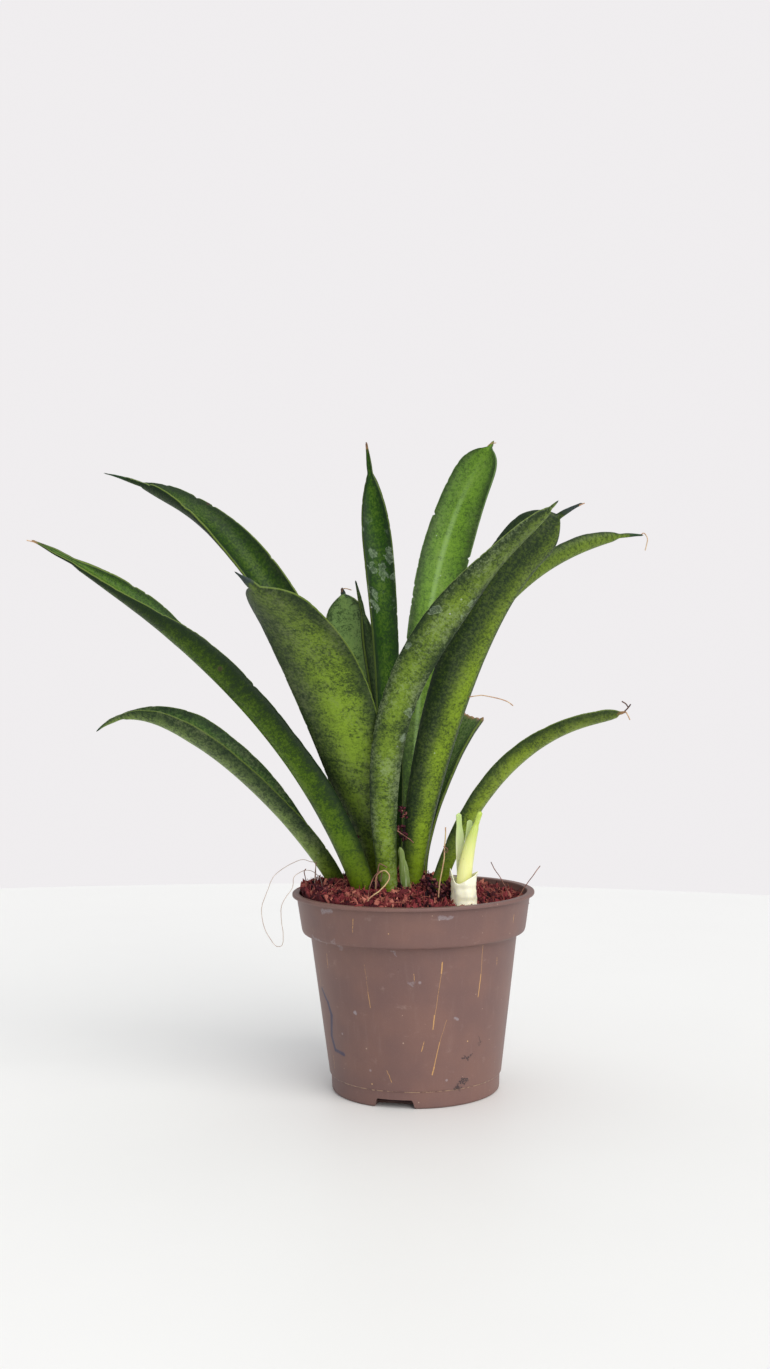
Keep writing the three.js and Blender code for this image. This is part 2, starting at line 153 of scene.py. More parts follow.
class Graph:
    """A node tree with short ways to add nodes and wire them."""

    def __init__(self, tree: NodeTree) -> None:
        """Wraps an existing tree.

        Args:
            tree: The node tree.
        """
        self.tree = tree
        self.source: Node | None = None
        self.sink: Node | None = None

    @classmethod
    def group(cls, name: str, kind: str, inputs: dict[str, object], outputs: dict[str, str]) -> "Graph":
        """Makes a node group with named inputs and outputs.

        Args:
            name: The group's name.
            kind: GeometryNodeTree or ShaderNodeTree.
            inputs: Each input's name with its default, or with its socket type as text.
            outputs: Each output's name with its socket type.

        Returns:
            The graph, with its input and output nodes in place.
        """
        graph = cls(bpy.data.node_groups.new(name, kind))
        for label, default in inputs.items():
            typed = default if isinstance(default, str) else socket_type(default)
            made = graph.tree.interface.new_socket(name=label, in_out="INPUT", socket_type=typed)
            if not isinstance(default, str):
                made.default_value = default
        for label, typed in outputs.items():
            graph.tree.interface.new_socket(name=label, in_out="OUTPUT", socket_type=typed)
        graph.source = graph.tree.nodes.new("NodeGroupInput")
        graph.sink = graph.tree.nodes.new("NodeGroupOutput")
        return graph

    def __getitem__(self, name: str) -> Wire:
        """Returns the group's input of that name."""
        return Wire(self, self.source.outputs[name])

    def give(self, name: str, value: Value) -> None:
        """Sends a value to the group's output of that name."""
        self.feed(self.sink.inputs[name], value)

    def feed(self, socket: NodeSocket, value: Value) -> None:
        """Wires a value to an input socket, or sets it there if it is a plain one.

        Args:
            socket: The input socket.
            value: The value.
        """
        if isinstance(value, Wire):
            self.tree.links.new(value.socket, socket)
        elif socket.type == "RGBA" and len(value) == 3:
            socket.default_value = (*value, 1.0)
        else:
            socket.default_value = value

    def node(self, kind: str, inputs: dict[str | int, Value], **settings: object) -> Node:
        """Adds a node.

        Args:
            kind: The node's class name.
            inputs: Values for its inputs, by name or by place in the list.
            **settings: The node's own properties.

        Returns:
            The new node.
        """
        made = self.tree.nodes.new(kind)
        for key, value in settings.items():
            setattr(made, key, value)
        for key, value in inputs.items():
            self.feed(find_socket(made.inputs, key), value)
        return made

    def wire(
        self, kind: str, inputs: dict[str | int, Value], output: str | int = 0, **settings: object
    ) -> Wire:
        """Adds a node and returns one of its outputs.

        Args:
            kind: The node's class name.
            inputs: Values for its inputs, by name or by place in the list.
            output: The output's name, or its place among the enabled ones.
            **settings: The node's own properties.

        Returns:
            The chosen output.
        """
        return Wire(self, find_socket(self.node(kind, inputs, **settings).outputs, output))

    def math(self, operation: str, *values: Value) -> Wire:
        """Returns the result of a maths node."""
        return self.wire("ShaderNodeMath", dict(enumerate(values)), operation=operation)

    def vector(self, operation: str, *values: Value) -> Wire:
        """Returns the result of a vector maths node."""
        return self.wire("ShaderNodeVectorMath", dict(enumerate(values)), operation=operation)

    def clamped(self, value: Value) -> Wire:
        """Keeps a value between 0 and 1."""
        return self.math("MINIMUM", self.math("MAXIMUM", value, 0.0), 1.0)

    def length(self, value: Value) -> Wire:
        """Returns a vector's length."""
        return self.wire("ShaderNodeVectorMath", {0: value}, "Value", operation="LENGTH")

    def dot(self, first: Value, second: Value) -> Wire:
        """Returns the dot product of two vectors."""
        return self.wire("ShaderNodeVectorMath", {0: first, 1: second}, "Value", operation="DOT_PRODUCT")

    def xyz(self, x: Value, y: Value, z: Value = 0.0) -> Wire:
        """Returns the vector of three values."""
        return self.wire("ShaderNodeCombineXYZ", {0: x, 1: y, 2: z})

    def parts(self, value: Value) -> tuple[Wire, Wire, Wire]:
        """Returns a vector's three parts."""
        split = self.node("ShaderNodeSeparateXYZ", {0: value})
        return tuple(Wire(self, socket) for socket in split.outputs)

    def span(self, value: Value, low: Value, high: Value, start: Value = 0.0, end: Value = 1.0) -> Wire:
        """Eases from start to end while the value goes from low to high."""
        inputs = {"Value": value, "From Min": low, "From Max": high, "To Min": start, "To Max": end}
        return self.wire("ShaderNodeMapRange", inputs, "Result", interpolation_type="SMOOTHSTEP")

    def between(self, factor: Value, low: Value, high: Value) -> Wire:
        """Mixes two numbers, or two vectors, by a factor.

        Args:
            factor: 0 for the first value, 1 for the second.
            low: The first value.
            high: The second value.

        Returns:
            The mixed value.
        """
        if is_vector(low) or is_vector(high):
            return self.wire("ShaderNodeMix", {0: factor, 4: low, 5: high}, data_type="VECTOR")
        return self.wire("ShaderNodeMix", {0: factor, 2: low, 3: high}, data_type="FLOAT")

    def tint(self, factor: Value, under: Value, over: Value, blend: str = "MIX") -> Wire:
        """Lays one colour over another by a factor."""
        inputs = {0: factor, 6: under, 7: over}
        return self.wire("ShaderNodeMix", inputs, data_type="RGBA", blend_type=blend)

    def cloud(self, place: Value, scale: Value, detail: float = 2.0, rough: float = 0.5) -> Wire:
        """Returns smooth noise, about 0.5 on average."""
        inputs = {"Vector": place, "Scale": scale, "Detail": detail, "Roughness": rough}
        return self.wire("ShaderNodeTexNoise", inputs, noise_dimensions="3D")

    @classmethod
    def geometry_tree(cls, name: str, inputs: dict[str, object]) -> "Graph":
        """Makes a Geometry Nodes tree that takes a material and puts out geometry.

        Args:
            name: The tree's name.
            inputs: Its other inputs, with their defaults.

        Returns:
            The graph.
        """
        inputs = inputs | {"Material": "NodeSocketMaterial"}
        return cls.group(name, "GeometryNodeTree", inputs, {"Geometry": "NodeSocketGeometry"})

    def marked(self, geometry: Wire, name: str, value: Wire, domain: str = "POINT") -> Wire:
        """Stores a value on a geometry's points or instances.

        Args:
            geometry: The geometry, before it is bent into shape.
            name: The attribute's name.
            value: The number or vector.
            domain: What it is stored on.

        Returns:
            The geometry with the attribute.
        """
        return self.wire(
            "GeometryNodeStoreNamedAttribute", {"Geometry": geometry, "Name": name, "Value": value},
            data_type="FLOAT_VECTOR" if is_vector(value) else "FLOAT", domain=domain,
        )

    def end(self, geometry: Wire) -> None:
        """Ends a Geometry Nodes tree with real geometry in the tree's material.

        Args:
            geometry: The geometry, which may hold instances.
        """
        real = self.wire("GeometryNodeRealizeInstances", {"Geometry": geometry})
        dress = {"Geometry": real, "Material": self["Material"]}
        self.give("Geometry", self.wire("GeometryNodeSetMaterial", dress))

    def object_place(self) -> Wire:
        """Returns the place on the object in a material, in metres."""
        return self.wire("ShaderNodeTexCoord", {}, "Object")

    def stored(self, name: str, output: str = "Fac") -> Wire:
        """Returns an attribute of the mesh in a material."""
        return self.wire("ShaderNodeAttribute", {}, output, attribute_name=name)

    def speckled(self, place: Value, spacing: float, size: float, share: float) -> Wire:
        """Places the shared specks in a material.

        Args:
            place: The place on the surface, in millimetres.
            spacing: The distance between specks, in millimetres.
            size: A speck's size, as a share of the spacing.
            share: The share of places that hold a speck.

        Returns:
            The mask, 1 on a speck.
        """
        values = {"Place": place, "Spacing": spacing, "Size": size, "Share": share}
        return Wire(self, self.place(values, Shared.specks()).outputs["Mask"])

    def place(self, values: dict[str | int, Value], group: "Graph") -> Node:
        """Places a shader node group in this tree, with its own values.

        Args:
            values: The group's inputs by name.
            group: The group.

        Returns:
            The group's node.
        """
        made = self.tree.nodes.new("ShaderNodeGroup")
        made.node_tree = group.tree
        for key, value in values.items():
            self.feed(made.inputs[key], value)
        return made


def socket_type(default: object) -> str:
    """Returns the socket type that suits a default value.

    Args:
        default: The default value.

    Returns:
        The socket type's name.
    """
    if isinstance(default, bool):
        return "NodeSocketBool"
    if isinstance(default, int):
        return "NodeSocketInt"
    if isinstance(default, float):
        return "NodeSocketFloat"
    return "NodeSocketColor" if len(default) == 4 else "NodeSocketVector"


def find_socket(sockets: NodeInputs, key: str | int) -> NodeSocket:
    """Finds a socket by its place in the list, or by name among the enabled ones.

    Args:
        sockets: A node's inputs or outputs.
        key: The name or the place.

    Returns:
        The socket.
    """
    if isinstance(key, int):
        enabled = [socket for socket in sockets if socket.enabled]
        return enabled[0] if key == 0 and sockets[0] not in enabled else sockets[key]
    return next(socket for socket in sockets if socket.name == key and socket.enabled)


def socket_name(field_name: str) -> str:
    """Returns the name of the socket that takes a field's value, such as Half Width."""
    return field_name.replace("_", " ").title()


def circle(count: int) -> list[tuple[float, float]]:
    """Returns the points of a unit circle, in even steps from +X."""
    turns = [2 * math.pi * i / count for i in range(count)]
    return [(math.cos(turn), math.sin(turn)) for turn in turns]


# ---- meshes


def link_object(name: str, mesh: Mesh) -> Object:
    """Makes an object of a mesh at the world origin.

    Args:
        name: The object's name.
        mesh: Its mesh.

    Returns:
        The object.
    """
    made = bpy.data.objects.new(name, mesh)
    bpy.context.scene.collection.objects.link(made)
    return made


def mesh_from(name: str, points: Sequence[Sequence[float]], faces: Sequence[Sequence[int]]) -> Mesh:
    """Makes a mesh with smooth faces that point outwards.

    Args:
        name: The mesh's name.
        points: The vertices, in metres.
        faces: The faces, as vertex numbers.

    Returns:
        The mesh.
    """
    mesh = bpy.data.meshes.new(name)
    mesh.from_pydata([tuple(p) for p in points], [], [tuple(f) for f in faces])
    turn_outwards(mesh)
    return mesh


def turn_outwards(mesh: Mesh, merge: float = 1e-7) -> None:
    """Merges doubled vertices and turns every face of a closed mesh outwards, shaded smooth.

    Args:
        mesh: The mesh, which is changed.
        merge: How close doubles are, in metres.
    """
    work = bmesh.new()
    work.from_mesh(mesh)
    bmesh.ops.remove_doubles(work, verts=work.verts, dist=merge)
    bmesh.ops.dissolve_degenerate(work, edges=work.edges, dist=merge)
    bmesh.ops.recalc_face_normals(work, faces=work.faces)
    for face in work.faces:
        face.smooth = True
    work.to_mesh(mesh)
    work.free()


def turned_mesh(name: str, profile: Sequence[tuple[float, float]], segments: int) -> Mesh:
    """Turns a closed profile about the Z axis.

    Args:
        name: The mesh's name.
        profile: Points of radius and height, from the axis round to the axis again.
        segments: Number of steps round.

    Returns:
        The mesh.
    """
    points: list[Point] = []
    rings: list[list[int]] = []
    for radius, height in profile:
        count = segments if radius > 0 else 1
        rings.append(list(range(len(points), len(points) + count)))
        points += [(radius * x, radius * y, height) for x, y in circle(segments)[:count]]
    faces = []
    for low, high in zip(rings, rings[1:], strict=False):
        for i in range(segments):
            corners = [low[i % len(low)], low[(i + 1) % len(low)]]
            corners += [high[(i + 1) % len(high)], high[i % len(high)]]
            faces.append(list(dict.fromkeys(corners)))
    return mesh_from(name, points, [face for face in faces if len(face) > 2])


def rounded(corners: Sequence[tuple[float, float, float]], steps: int = 4) -> list[tuple[float, float]]:
    """Rounds the corners of a profile.

    Args:
        corners: Radius, height and corner rounding of each point.
        steps: Number of pieces in each rounded corner.

    Returns:
        The profile's points.
    """
    made: list[tuple[float, float]] = []
    for i, (x, y, size) in enumerate(corners):
        here = Vector((x, y))
        if size == 0 or i in (0, len(corners) - 1):
            made.append((x, y))
            continue
        before = Vector(corners[i - 1][:2]) - here
        after = Vector(corners[i + 1][:2]) - here
        start = here + before.normalized() * min(size, before.length * 0.49)
        end = here + after.normalized() * min(size, after.length * 0.49)
        for step in range(steps + 1):
            t = step / steps
            made.append(tuple((1 - t) ** 2 * start + 2 * t * (1 - t) * here + t * t * end))
    return made


def finish_piece(piece: Object, slot: str, nodes: Sequence[str], material: Material | None) -> None:
    """Dresses a piece, fixes it to the plant's one body and hides the CAD nodes that it stands for.

    Args:
        piece: The finished mesh object.
        slot: The material slot that stands in the log.
        nodes: The CAD nodes that it stands for, if any.
        material: Its material, if it has none yet.
    """
    if material is not None:
        piece.data.materials.clear()
        piece.data.materials.append(material)
    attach(piece, "root")
    if nodes:
        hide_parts(*nodes)
    LOG.info("%s: %d faces, slot %s", piece.name, len(piece.data.polygons), slot)


def grown(piece: Object, graph: Graph, values: dict[str, object]) -> Object:
    """Runs a Geometry Nodes tree on an object and keeps the result as its plain mesh.

    Args:
        piece: The object that the tree starts from.
        graph: The Geometry Nodes tree.
        values: Values for the tree's inputs, by name.

    Returns:
        The same object, without the modifier.
    """
    modifier = piece.modifiers.new("growth", "NODES")
    modifier.node_group = graph.tree
    for item in graph.tree.interface.items_tree:
        if item.item_type == "SOCKET" and item.in_out == "INPUT" and item.name in values:
            modifier[item.identifier] = values[item.name]
    depsgraph = bpy.context.evaluated_depsgraph_get()
    result = bpy.data.meshes.new_from_object(
        piece.evaluated_get(depsgraph), preserve_all_data_layers=True, depsgraph=depsgraph
    )
    piece.modifiers.remove(modifier)
    piece.data = result
    result.name = piece.name
    return piece


# ---- shared shader groups


class Shared:
    """The shader node groups that more than one material uses, each built once."""

    @staticmethod
    @cache
    def stroke() -> Graph:
        """Returns the group that marks a thin line, such as a scratch, drawn on a surface.

        Its inputs are a place on the surface in millimetres, the line's two ends, its half
        width, how much it wavers and how broken it is. Its output is 1 on the line.

        Returns:
            The group.
        """
        inputs = {
            "Place": (0.0,) * 3, "Start": (0.0,) * 3, "End": (0.0,) * 3, "Width": 0.3, "Waver": 0.3,
            "Broken": 1.0,
        }
        graph = Graph.group("surface_stroke", "ShaderNodeTree", inputs, {"Mask": "NodeSocketFloat"})
        place = graph["Place"]
        start = graph["Start"]
        run = graph["End"] - start
        drift = (graph.cloud(place, 0.35, 2.0) - 0.5) * graph["Waver"] * 4.0
        away = place + graph.xyz(drift, drift) - start
        along = graph.dot(away, run) / graph.math("MAXIMUM", graph.dot(run, run), 1e-6)
        along = graph.clamped(along)
        distance = graph.length(away - run * along)
        ragged = graph.span(graph.cloud(place, 1.6, 3.0, 0.7), 0.38, 0.52)
        ragged = graph.between(graph["Broken"], 1.0, ragged)
        width = graph["Width"]
        graph.give("Mask", graph.span(distance, width, width * 0.35) * ragged)
        return graph

    @staticmethod
    @cache
    def specks() -> Graph:
        """Returns the group that scatters small specks, such as dust or limescale.

        Its inputs are a place in millimetres, the specks' spacing, their size as a share of
        the spacing and the share of places that hold one. Its output is 1 on a speck.

        Returns:
            The group.
        """
        inputs = {"Place": (0.0,) * 3, "Spacing": 3.0, "Size": 0.15, "Share": 0.3}
        graph = Graph.group("surface_specks", "ShaderNodeTree", inputs, {"Mask": "NodeSocketFloat"})
        cells = graph.node(
            "ShaderNodeTexVoronoi",
            {"Vector": graph["Place"], "Scale": 1.0 / graph["Spacing"], "Randomness": 1.0},
            voronoi_dimensions="3D",
        )
        chance, varied, _ = graph.parts(Wire(graph, cells.outputs["Color"]))
        size = graph["Size"] * (varied + 0.35)
        spot = graph.span(Wire(graph, cells.outputs["Distance"]), size, size * 0.55)
        graph.give("Mask", spot * graph.math("LESS_THAN", chance, graph["Share"]))
        return graph

    @staticmethod
    @cache
    def leaf_skin() -> Graph:
        """Returns the group that paints a snake plant leaf.

        Its inputs are the place on the leaf and the leaf's own colours and amounts, with its painted
        glow, painted highlight and painted shade. Its outputs are the colour, the roughness and the height
        for a bump.

        Returns:
            The group.
        """
        graph = Graph.group(
            "leaf_skin", "ShaderNodeTree", LeafFinish.group_inputs(),
            {"Colour": "NodeSocketColor", "Roughness": "NodeSocketFloat", "Height": "NodeSocketFloat"},
        )
        LeafPainter(graph).paint()
        return graph


# ---- leaf finish


class TipEnd(Enum):
    """How a leaf ends: the colour of its last few millimetres."""

    HORN = (0.035, 0.05, 0.045)
    DRY = (0.30, 0.17, 0.085)
    GREEN = (0.02, 0.05, 0.02)


@dataclass(frozen=True)
class LeafFinish:
    """The colours and amounts of one leaf's skin. Lengths are millimetres."""

    deep: Colour = (0.036, 0.068, 0.010)
    # glow is painted light: light shining through the leaf's middle, painted into its colour.
    glow: Colour = (0.170, 0.260, 0.010)
    inner: Colour = (0.050, 0.120, 0.012)
    margin: Colour = (0.011, 0.024, 0.010)
    # rim is the pale line along the edge, and also the colour of the painted highlight along the middle of
    # the channel.
    rim: Colour = (0.150, 0.215, 0.030)
    # base is the colour near the soil: a paler green, or on a leaf shaded near the soil a dark colour that
    # paints the shade.
    base: Colour = (0.140, 0.215, 0.004)
    # bloom_colour is the grey-green of the waxy bloom, partly a painted sheen.
    bloom_colour: Colour = (0.190, 0.225, 0.105)
    # glow_amount, glow_width, glow_peak, glow_reach and lean place the painted glow: its strength, its
    # width, where along the leaf it peaks, how far it reaches and how far it leans across the leaf.
    glow_amount: float = 0.85
    glow_width: float = 0.95
    glow_peak: float = 0.25
    glow_reach: float = 0.75
    lean: float = 0.0
    mottle: float = 0.75
    bands: float = 0.6
    rim_amount: float = 0.7
    base_length: float = 34.0
    # Amount of waxy bloom, partly a painted sheen.
    bloom: float = 0.25
    # Amount of painted highlight along the middle of the channel.
    stripe: float = 0.0
    marks: float = 0.0
    marks_from: float = 0.5
    marks_to: float = 0.85
    scars: float = 0.2
    # darkening is painted shade: how far the painted glow fades away from its peak, leaving the leaf darker
    # there.
    darkening: float = 0.3
    tip: TipEnd = TipEnd.HORN
    tip_from: float = 0.965
    roughness: float = 0.42

    @classmethod
    def group_inputs(cls) -> dict[str, object]:
        """Returns the leaf skin group's inputs, whose defaults are a plain leaf's.

        Returns:
            Each input's name with its default.
        """
        inputs: dict[str, object] = {"Across": 0.0, "Along": 0.0, "Side": 0.0, "Blade": (0.0,) * 3}
        for name, value in cls().group_values().items():
            inputs[name] = (*value, 1.0) if isinstance(value, tuple) else value
        return inputs

    def group_values(self) -> dict[str, Value]:
        """Returns this leaf's values for the skin group.

        Returns:
            Each field's value by its socket's name.
        """
        values = {socket_name(each.name): getattr(self, each.name) for each in fields(self)}
        values["Tip"] = self.tip.value
        return values

    def material(self, name: str) -> Material:
        """Makes the leaf's material.

        Args:
            name: The leaf's name.

        Returns:
            The material, with the skin group feeding one Principled shader.
        """
        material, graph, shader = new_material(name + "_skin")
        values = self.group_values()
        values["Across"] = graph.stored("leaf_across")
        values["Along"] = graph.stored("leaf_along")
        values["Side"] = graph.stored("leaf_inner")
        values["Blade"] = graph.stored("leaf_place", "Vector")
        skin = graph.place(values, Shared.leaf_skin())
        graph.feed(shader.inputs["Base Color"], Wire(graph, skin.outputs["Colour"]))
        graph.feed(shader.inputs["Roughness"], Wire(graph, skin.outputs["Roughness"]))
        add_bump(graph, shader, Wire(graph, skin.outputs["Height"]), 0.35, 0.25 * MM)
        shader.inputs["Specular IOR Level"].default_value = 0.13
        return material


def new_material(name: str) -> tuple[Material, Graph, Node]:
    """Makes a material with one Principled shader.

    Args:
        name: The material's name.

    Returns:
        The material, its graph and its shader node.
    """
    material = bpy.data.materials.new(name)
    material.use_nodes = True
    graph = Graph(material.node_tree)
    return material, graph, material.node_tree.nodes["Principled BSDF"]


def add_bump(graph: Graph, shader: Node, height: Value, strength: float, distance: float) -> None:
    """Feeds a height to a shader's normal through a Bump node."""
    bump = graph.wire("ShaderNodeBump", {"Height": height, "Strength": strength, "Distance": distance})
    graph.feed(shader.inputs["Normal"], bump)


class LeafPainter:
    """Fills the leaf skin group, layer by layer."""

    GRAIN = (0.42, 0.58, 0.07)
    WATER_MARK = (0.34, 0.42, 0.31)
    DUST = (0.5, 0.55, 0.48)
    SCAR = (0.05, 0.035, 0.022)
    MARK_FADE = 0.04
    TIP_BLEND = 0.018

    def __init__(self, graph: Graph) -> None:
        """Reads the place on the leaf and the noises that the layers share.

        Args:
            graph: The leaf skin group.
        """
        self.graph = graph
        self.across = graph["Across"]
        self.along = graph["Along"]
        self.side = graph["Side"]
        self.place = graph["Blade"]
        self.out = abs(self.across)
        self.x, self.y, self.seed = graph.parts(self.place)
        self.patch = graph.span(graph.cloud(self.place, 0.055, 2.0), 0.3, 0.7)
        self.fleck = graph.span(graph.cloud(self.place, 0.88, 3.0, 0.7), 0.38, 0.62)
        self.fine = graph.span(graph.cloud(self.place, 1.9, 2.0, 0.6), 0.36, 0.64)
        drift = (self.patch - 0.5) * 1.5
        banded = graph.xyz(self.x * 0.07 + drift, self.y * 0.21 + drift, self.seed)
        self.band = graph.span(graph.cloud(banded, 1.0, 4.0, 0.62), 0.36, 0.64)
        wavy = graph.cloud(graph.xyz(self.x * 0.05 + drift, self.y * 0.33, self.seed + 3.0), 1.0, 2.0)
        self.crease = graph.span(abs(wavy - 0.5), 0.034, 0.008)

    def paint(self) -> None:
        """Builds all layers and feeds the group's outputs."""
        graph = self.graph
        # lit is the painted glow of light through the leaf's middle.
        lit, wax, ring = self.lit(), self.wax(), self.ring()
        colour = self.mottled(self.ground(lit), lit)
        colour = self.waxed(self.edged(colour), wax, ring)
        graph.give("Colour", self.ended(self.speckled(colour)))
        rough = graph["Roughness"] + (self.fleck - 0.5) * 0.10 + wax * 0.14
        graph.give("Roughness", rough)
        grooves = graph.cloud(graph.xyz(self.x * 1.6, self.y * 0.05, self.seed), 1.0, 3.0, 0.6)
        graph.give("Height", self.fleck * 0.12 + grooves * 0.8 + ring * 0.5)

    def lit(self) -> Wire:
        """Returns the painted glow: how strongly light shining through the leaf's middle is painted in.

        Returns:
            The painted glow's mask, brightest along the middle near the leaf's peak.
        """
        graph = self.graph
        lean = graph["Lean"] * graph.span(self.along, 0.15, 0.9, 0.4, 2.5)
        middle = graph.span(abs(self.across - lean), graph["Glow Width"], 0.05)
        rise = graph.span(self.along, 0.0, 0.3, 1.0, 0.9)
        from_peak = abs(self.along - graph["Glow Peak"])
        # Painted shade: the glow fades away from its peak by the darkening amount.
        fade = 1.0 - graph["Darkening"] * graph.span(from_peak, 0.05, graph["Glow Reach"])
        clouds = graph.span(self.patch, 0.0, 1.0, 0.7, 1.0)
        return middle * rise * fade * clouds * graph["Glow Amount"]

    def wax(self) -> Wire:
        """Returns the waxy bloom, partly a painted sheen, in soft clouds drawn out along the leaf.

        Returns:
            The mask of the bloom and painted sheen.
        """
        graph = self.graph
        drawn_out = graph.xyz(self.x * 0.13, self.y * 0.05, self.seed + 7.0)
        cloud = graph.cloud(drawn_out, 1.0, 4.0, 0.6) + (self.fine - self.fleck) * 0.16
        return graph.span(cloud, 0.45, 0.78) * graph["Bloom"]

    def ring(self) -> Wire:
        """Returns the dried water marks: rounded patches, stronger towards their edges.

        Returns:
            The marks' mask.
        """
        graph = self.graph
        warp = (graph.cloud(self.place, 0.5, 2.0) - 0.5) * 5.0
        spot = graph.xyz(self.x + warp, self.y * 0.8 - warp, self.seed)
        cells = graph.node("ShaderNodeTexVoronoi", {"Vector": spot, "Scale": 0.22})
        distance = Wire(graph, cells.outputs["Distance"])
        chance, _, _ = graph.parts(Wire(graph, cells.outputs["Color"]))
        near = graph.span(distance, 0.44, 0.32) * graph.span(distance, 0.05, 0.34, 0.4, 1.0)
        first, last = graph["Marks From"], graph["Marks To"]
        reach = graph.span(self.along, first, first + self.MARK_FADE)
        reach = reach * graph.span(self.along, last, last - self.MARK_FADE)
        return near * graph.math("LESS_THAN", chance, graph["Marks"] * 0.6) * reach

    def ground(self, lit: Wire) -> Wire:
        """Returns the soft base colour: a painted glow along the middle on a deep green ground.

        Args:
            lit: How strongly the painted glow lights the middle.

        Returns:
            The colour.
        """
        graph = self.graph
        outer = graph.tint(lit, graph["Deep"], graph["Glow"])
        inner = graph.tint(lit * 0.45, graph["Inner"], graph["Glow"])
        colour = graph.tint(self.side, outer, inner)
        # Towards the soil the colour turns to base, which on a leaf shaded near the soil is painted shade.
        low = graph.span(self.y, graph["Base Length"], 4.0, 0.0, 0.8)
        colour = graph.tint(low, colour, graph["Base"])
        # A painted highlight along the middle of the channel, in the rim colour.
        stripe = graph.span(abs(self.across + 0.12), 0.17, 0.02)
        stripe = stripe * graph.span(self.along, 0.97, 0.75) * graph["Stripe"]
        return graph.tint(stripe, colour, graph["Rim"])

    def mottled(self, colour: Wire, lit: Wire) -> Wire:
        """Adds the fine dark mottle, which clumps in ragged cross bands.

        Args:
            colour: The colour so far.
            lit: How strongly the painted glow lights the middle.

        Returns:
            The colour.
        """
        graph = self.graph
        grit = self.fleck * 0.55 + self.fine * 0.45
        mottle = graph["Mottle"] * graph.span(self.y, 2.0, 30.0, 0.4, 1.0)
        clump = grit + (self.band - 0.5) * graph["Bands"] * 0.5 + (self.out - 0.5) * 0.3
        clump = clump - (self.patch - 0.5) * 0.2
        dark = graph.span(clump, 0.48, 0.95) * mottle
        colour = graph.tint(dark * 0.8, colour, graph["Margin"])
        lines = self.crease * graph.span(self.band, 0.2, 0.8) * graph["Bands"] * mottle
        colour = graph.tint(lines * 0.6, colour, graph["Margin"])
        # The pale grain is stronger under the painted glow, and takes the glow's colour.
        pale = graph.span(clump, 0.48, 0.08) * mottle * (lit * 0.55 + 0.15)
        grain = graph.tint(0.2, graph["Glow"], self.GRAIN)
        return graph.tint(pale, colour, grain)

    def edged(self, colour: Wire) -> Wire:
        """Adds the dark margins and the thin pale line along the rim.

        Args:
            colour: The colour so far.

        Returns:
            The colour.
        """
        graph = self.graph
        wander = (self.patch - 0.5) * 0.10
        shade = graph.span(self.out + wander, 0.58, 0.98, 0.0, 0.66)
        colour = graph.tint(shade, colour, graph["Margin"])
        line = graph.span(self.out, 0.965, 0.99) * graph["Rim Amount"]
        return graph.tint(line, colour, graph["Rim"])

    def waxed(self, colour: Wire, wax: Wire, ring: Wire) -> Wire:
        """Adds the waxy bloom, partly a painted sheen, and the dried water marks.

        Args:
            colour: The colour so far.
            wax: The mask of the bloom and painted sheen.
            ring: The water marks' mask.

        Returns:
            The colour.
        """
        graph = self.graph
        colour = graph.tint(wax, colour, graph["Bloom Colour"])
        faded = graph.span(self.fleck + self.fine, 0.2, 1.6, 1.0, 0.4)
        return graph.tint(ring * faded * 0.42, colour, self.WATER_MARK)

    def speckled(self, colour: Wire) -> Wire:
        """Adds dust and small scars.

        Args:
            colour: The colour so far.

        Returns:
            The colour.
        """
        graph = self.graph
        kinds = (
            (3.2, 0.1, 0.2, graph.span(self.patch, 0.5, 0.8) * 0.5, self.DUST),
            (7.0, 0.13, 0.3, graph["Scars"], self.SCAR),
        )
        for spacing, size, share, strength, tint in kinds:
            mask = graph.speckled(self.place, spacing, size, share)
            colour = graph.tint(mask * strength, colour, tint)
        return colour

    def ended(self, colour: Wire) -> Wire:
        """Colours the tip.

        Args:
            colour: The colour so far.

        Returns:
            The colour.
        """
        graph = self.graph
        start = graph["Tip From"]
        reached = self.along + (self.fleck - 0.5) * 0.008 + (self.band - 0.5) * 0.012
        return graph.tint(graph.span(reached, start, start + self.TIP_BLEND), colour, graph["Tip"])


# ---- leaf shape


@dataclass(frozen=True)
class Blade:
    """One leaf: a tapered channel that follows a cubic Bezier curve. Lengths are millimetres.

    path holds the curve's four points, and facing holds where the inner face looks at root,
    middle and tip. curl is half the angle that the channel wraps at those three places.
    """

    path: tuple[Point, Point, Point, Point]
    facing: tuple[Point, Point, Point]
    half_width: float
    base: float
    widest: float
    curl: tuple[float, float, float]
    spike: float
    blunt: float
    spike_half: float = 1.1
    thickness: float = 2.2
    ripple: float = 0.35
    nibble: float = 0.25
    ragged: float = 0.0
    cut: bool = False
    seed: int = 1

    def inputs(self, offset: Point = (0, 0, 0)) -> dict[str, object]:
        """Returns the blade tree's inputs, in metres and radians.

        Args:
            offset: Added to the path's points, in millimetres.

        Returns:
            The values by name.
        """
        path = [tuple((a + b) * MM for a, b in zip(p, offset, strict=True)) for p in self.path]
        looks = [tuple(Vector(v).normalized()) for v in self.facing]
        bends = [math.radians(angle) for angle in self.curl]
        values: dict[str, object] = dict(zip(BladeTree.PATH, path, strict=True))
        values |= zip(BladeTree.FACING, looks, strict=True)
        values |= zip(BladeTree.CURL, bends, strict=True)
        lengths = ("half_width", "spike", "spike_half", "thickness", "ripple", "nibble", "ragged")
        values |= {socket_name(name): getattr(self, name) * MM for name in lengths}
        values |= {"Base": self.base, "Widest": self.widest, "Blunt": self.blunt}
        return values | {"Cut": 1.0 if self.cut else 0.0, "Seed": float(self.seed)}


